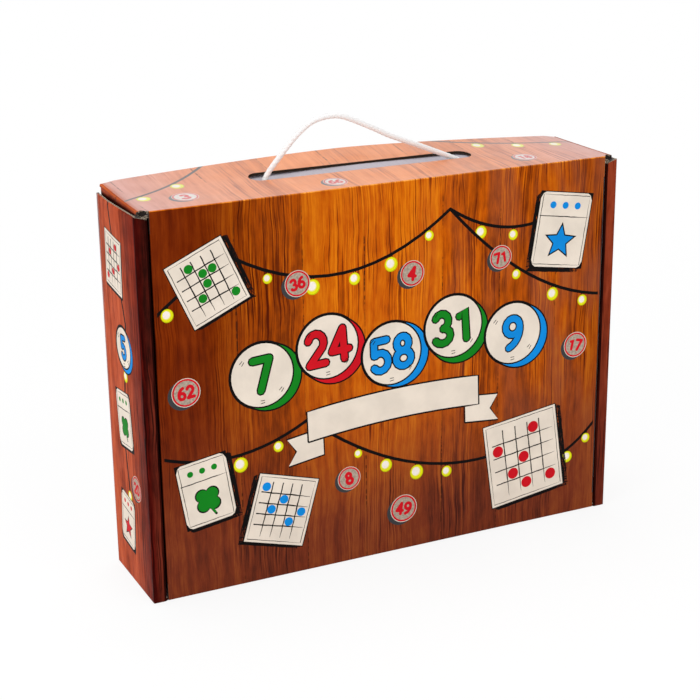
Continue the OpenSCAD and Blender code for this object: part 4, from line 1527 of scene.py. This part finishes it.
def make_disc_bag():
    """A cloth bag drawn in at its neck: a full body, gathered folds, a ruffle and a hollow for the discs."""
    count = 96
    levels = [(0.0, 0.93, 0.90), (0.8, 0.985, 0.97), (3, 1.0, 1.0), (12, 0.99, 0.99), (24, 0.985, 0.985),
              (36, 0.985, 0.98), (44, 0.985, 0.975), (46.6, 0.95, 0.94), (47.6, 0.80, 0.84)]
    rows = []
    for z, wide, deep in levels:
        ring = rounded(BAG_L * wide, BAG_D * deep, 12 if z < 46 else 5, count)
        rows.append([in_bag(x, y * (1 - 0.012 * (1 + math.sin(x * 0.9 + z * 0.3))), z) for x, y in ring])
    body = rounded(BAG_L * 0.80, BAG_D * 0.84, 5, count)
    angles = [math.atan2(y * BAG_L / BAG_D, x) for x, y in body]

    def gathered(r, depth):
        """A ring of eleven folds round the neck."""
        radii = [r + depth * math.sin(11 * a) for a in angles]
        return [(size * math.cos(a), size * math.sin(a)) for size, a in zip(radii, angles)]

    neck = [(48.3, 0.52, 0.1), (49.3, 0.25, 0.5), (50.2, 0.0, 1.0), (52.6, 0.0, 1.0), (54.2, -0.1, 1.0),
            (57.5, -0.6, 1.0), (61.0, -1.0, 1.0), (63.0, -1.15, 1.0)]
    for z, far, gather in neck:
        flare = max(-far, 0)
        ring = gathered(8.2 + 3.6 * flare, 0.55 * gather + 0.9 * flare)
        rows.append([in_bag(*between(start, end, max(far, 0)), z) for start, end in zip(ring, body)])
    for z, r in ((62.6, 10.9), (58, 7.2), (54.4, 4.2), (53.6, 1.2)):
        rows.append([in_bag(x, y, z) for x, y in gathered(r, 0.12 * r)])
    piece = Piece()
    piece.grid(rows, "bag_cloth")
    hollow = rounded(BAG_L - 3.0, BAG_D - 3.0, 12, count)
    piece.grid([[in_bag(x, y, z) for x, y in hollow] for z in (46.2, 1.3)], "bag_cloth")
    piece.done("disc_bag_sewn", "tray", ("disc_bag",), smooth=60)
    cord = Piece()
    ring = [Vector((x, y, 51.7)) for x, y in arc(BAG_X, BAG_Y, 10.3, 10.3, -80, 260, 48)]
    bow = smooth_line([Vector((BAG_X + x, BAG_Y + y, 51.9 + z)) for x, y, z in
                       ((-2.6, -11.2, 0.8), (-1.2, -13.6, 1.2), (1.4, -14.0, -0.6), (2.2, -12.2, 1.4),
                        (0, -11.6, 2.2), (-1.8, -13.0, -0.8), (0.6, -14.4, 0.6), (2.6, -12.6, -0.6))], 6)
    for line in (ring, bow):
        strand_tube(cord, line, 2.2, 2, 4, "cotton_cord", 12)
    cord.done("bag_cord_tied", "tray", ("bag_cord",), smooth=70)


def make_chip_bag():
    """A clear film bag: soft pillow ends, a flat zip edge with its ridges, and a hollow for the chips."""
    def ring(w, d, power, z):
        return [(52.5 + x, 4.3 + y, BOARD + z) for x, y in rounded(w, d, power, 72)]

    piece = Piece()
    piece.grid([ring(99 * wide, 16.6 * deep, 8, z) for z, wide, deep in FILM_LEVELS], "film")
    piece.grid([ring(98.0, 15.7, 14, z) for z in (15.6, 0.35)], "film")
    piece.done("chip_bag_film", "tray", ("chip_bag",), smooth=60)


def dress_cad_nodes():
    """Gives the rigid pieces that keep their CAD shape their own materials, in the slots they already have.
    """
    for node, mat in (("number_discs", "disc_board"), ("red_chips", "chip_red"),
                      ("green_chips", "chip_green"), ("blue_chips", "chip_blue")):
        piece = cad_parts[node]
        for place in piece.material_slots:
            place.material = MATERIALS[mat]


# Studio

def backdrop_white(net, share):
    """A share where a surface is seen directly, in gloss or through glass, and 0 elsewhere."""
    rays = net.node("LightPath").outputs
    seen = net.math("MAXIMUM", rays["Is Camera Ray"], rays["Is Glossy Ray"])
    return net.times(net.math("MAXIMUM", seen, rays["Is Transmission Ray"]), share)


def make_world():
    world = bpy.data.worlds.new("studio")
    bpy.context.scene.world = world
    net = Nodes(world)
    soft, seen = (net.fed("Background", (1, 1, 1), strength) for strength in (0.62, 1.0))
    net.feed(net.node("OutputWorld").inputs, net.fed("MixShader", backdrop_white(net, 1.0), soft, seen))


def make_floor():
    """Pale floor that keeps the object's shadow near it and turns plain white further off."""
    mat = bpy.data.materials.new("floor")
    net = Nodes(mat)
    far = net.node("VectorMath", operation="LENGTH")
    net.feed(far.inputs, net.node("NewGeometry").outputs["Position"])
    share = net.range(far.outputs["Value"], 0.25, 0.9, 0.86, 1.0, "LINEAR")
    paper = net.fed("BsdfDiffuse", (0.92, 0.92, 0.92))
    mixed = net.fed("MixShader", backdrop_white(net, share), paper, net.fed("Emission"))
    net.feed(net.node("OutputMaterial").inputs, mixed)
    mesh = bpy.data.meshes.new("floor")
    size, drop = 6.0, -0.0004
    mesh.from_pydata([(x, y, drop) for x, y in box_of(2 * size, 2 * size)], [], [(0, 1, 2, 3)])
    mesh.materials.append(mat)
    add_object("floor", mesh)


def lamp(name, place, aim_z, size, power):
    """A soft rectangular lamp that aims at a height over the origin."""
    data = bpy.data.lights.new(name, "AREA")
    data.shape = "RECTANGLE"
    data.size, data.size_y = size
    data.energy = power
    light = add_object(name, data)
    light.location = place
    light.rotation_mode = "QUATERNION"
    light.rotation_quaternion = (Vector(place) - Vector((0, 0, aim_z))).to_track_quat("Z", "Y")


def make_light():
    make_world()
    make_floor()
    lamp("key", (0.5, -1.7, 1.5), 0.12, (1.2, 1.0), 10)
    lamp("fill", (-1.9, -0.9, 0.9), 0.12, (1.0, 1.0), 17)
    lamp("top", (-0.2, 0.4, 2.0), 0.2, (1.4, 1.0), 14)


make_camera()
make_rope()
make_knots()
make_lid()
make_flap()
make_sides()
make_back()
make_plain_walls()
make_ears()
make_rolled_edges()
make_folds()
make_crushed_corners()
make_foot_tears()
make_cards()
make_leaflet()
make_disc_bag()
make_chip_bag()
dress_cad_nodes()
make_light()
bpy.context.scene.view_settings.view_transform = "Standard"
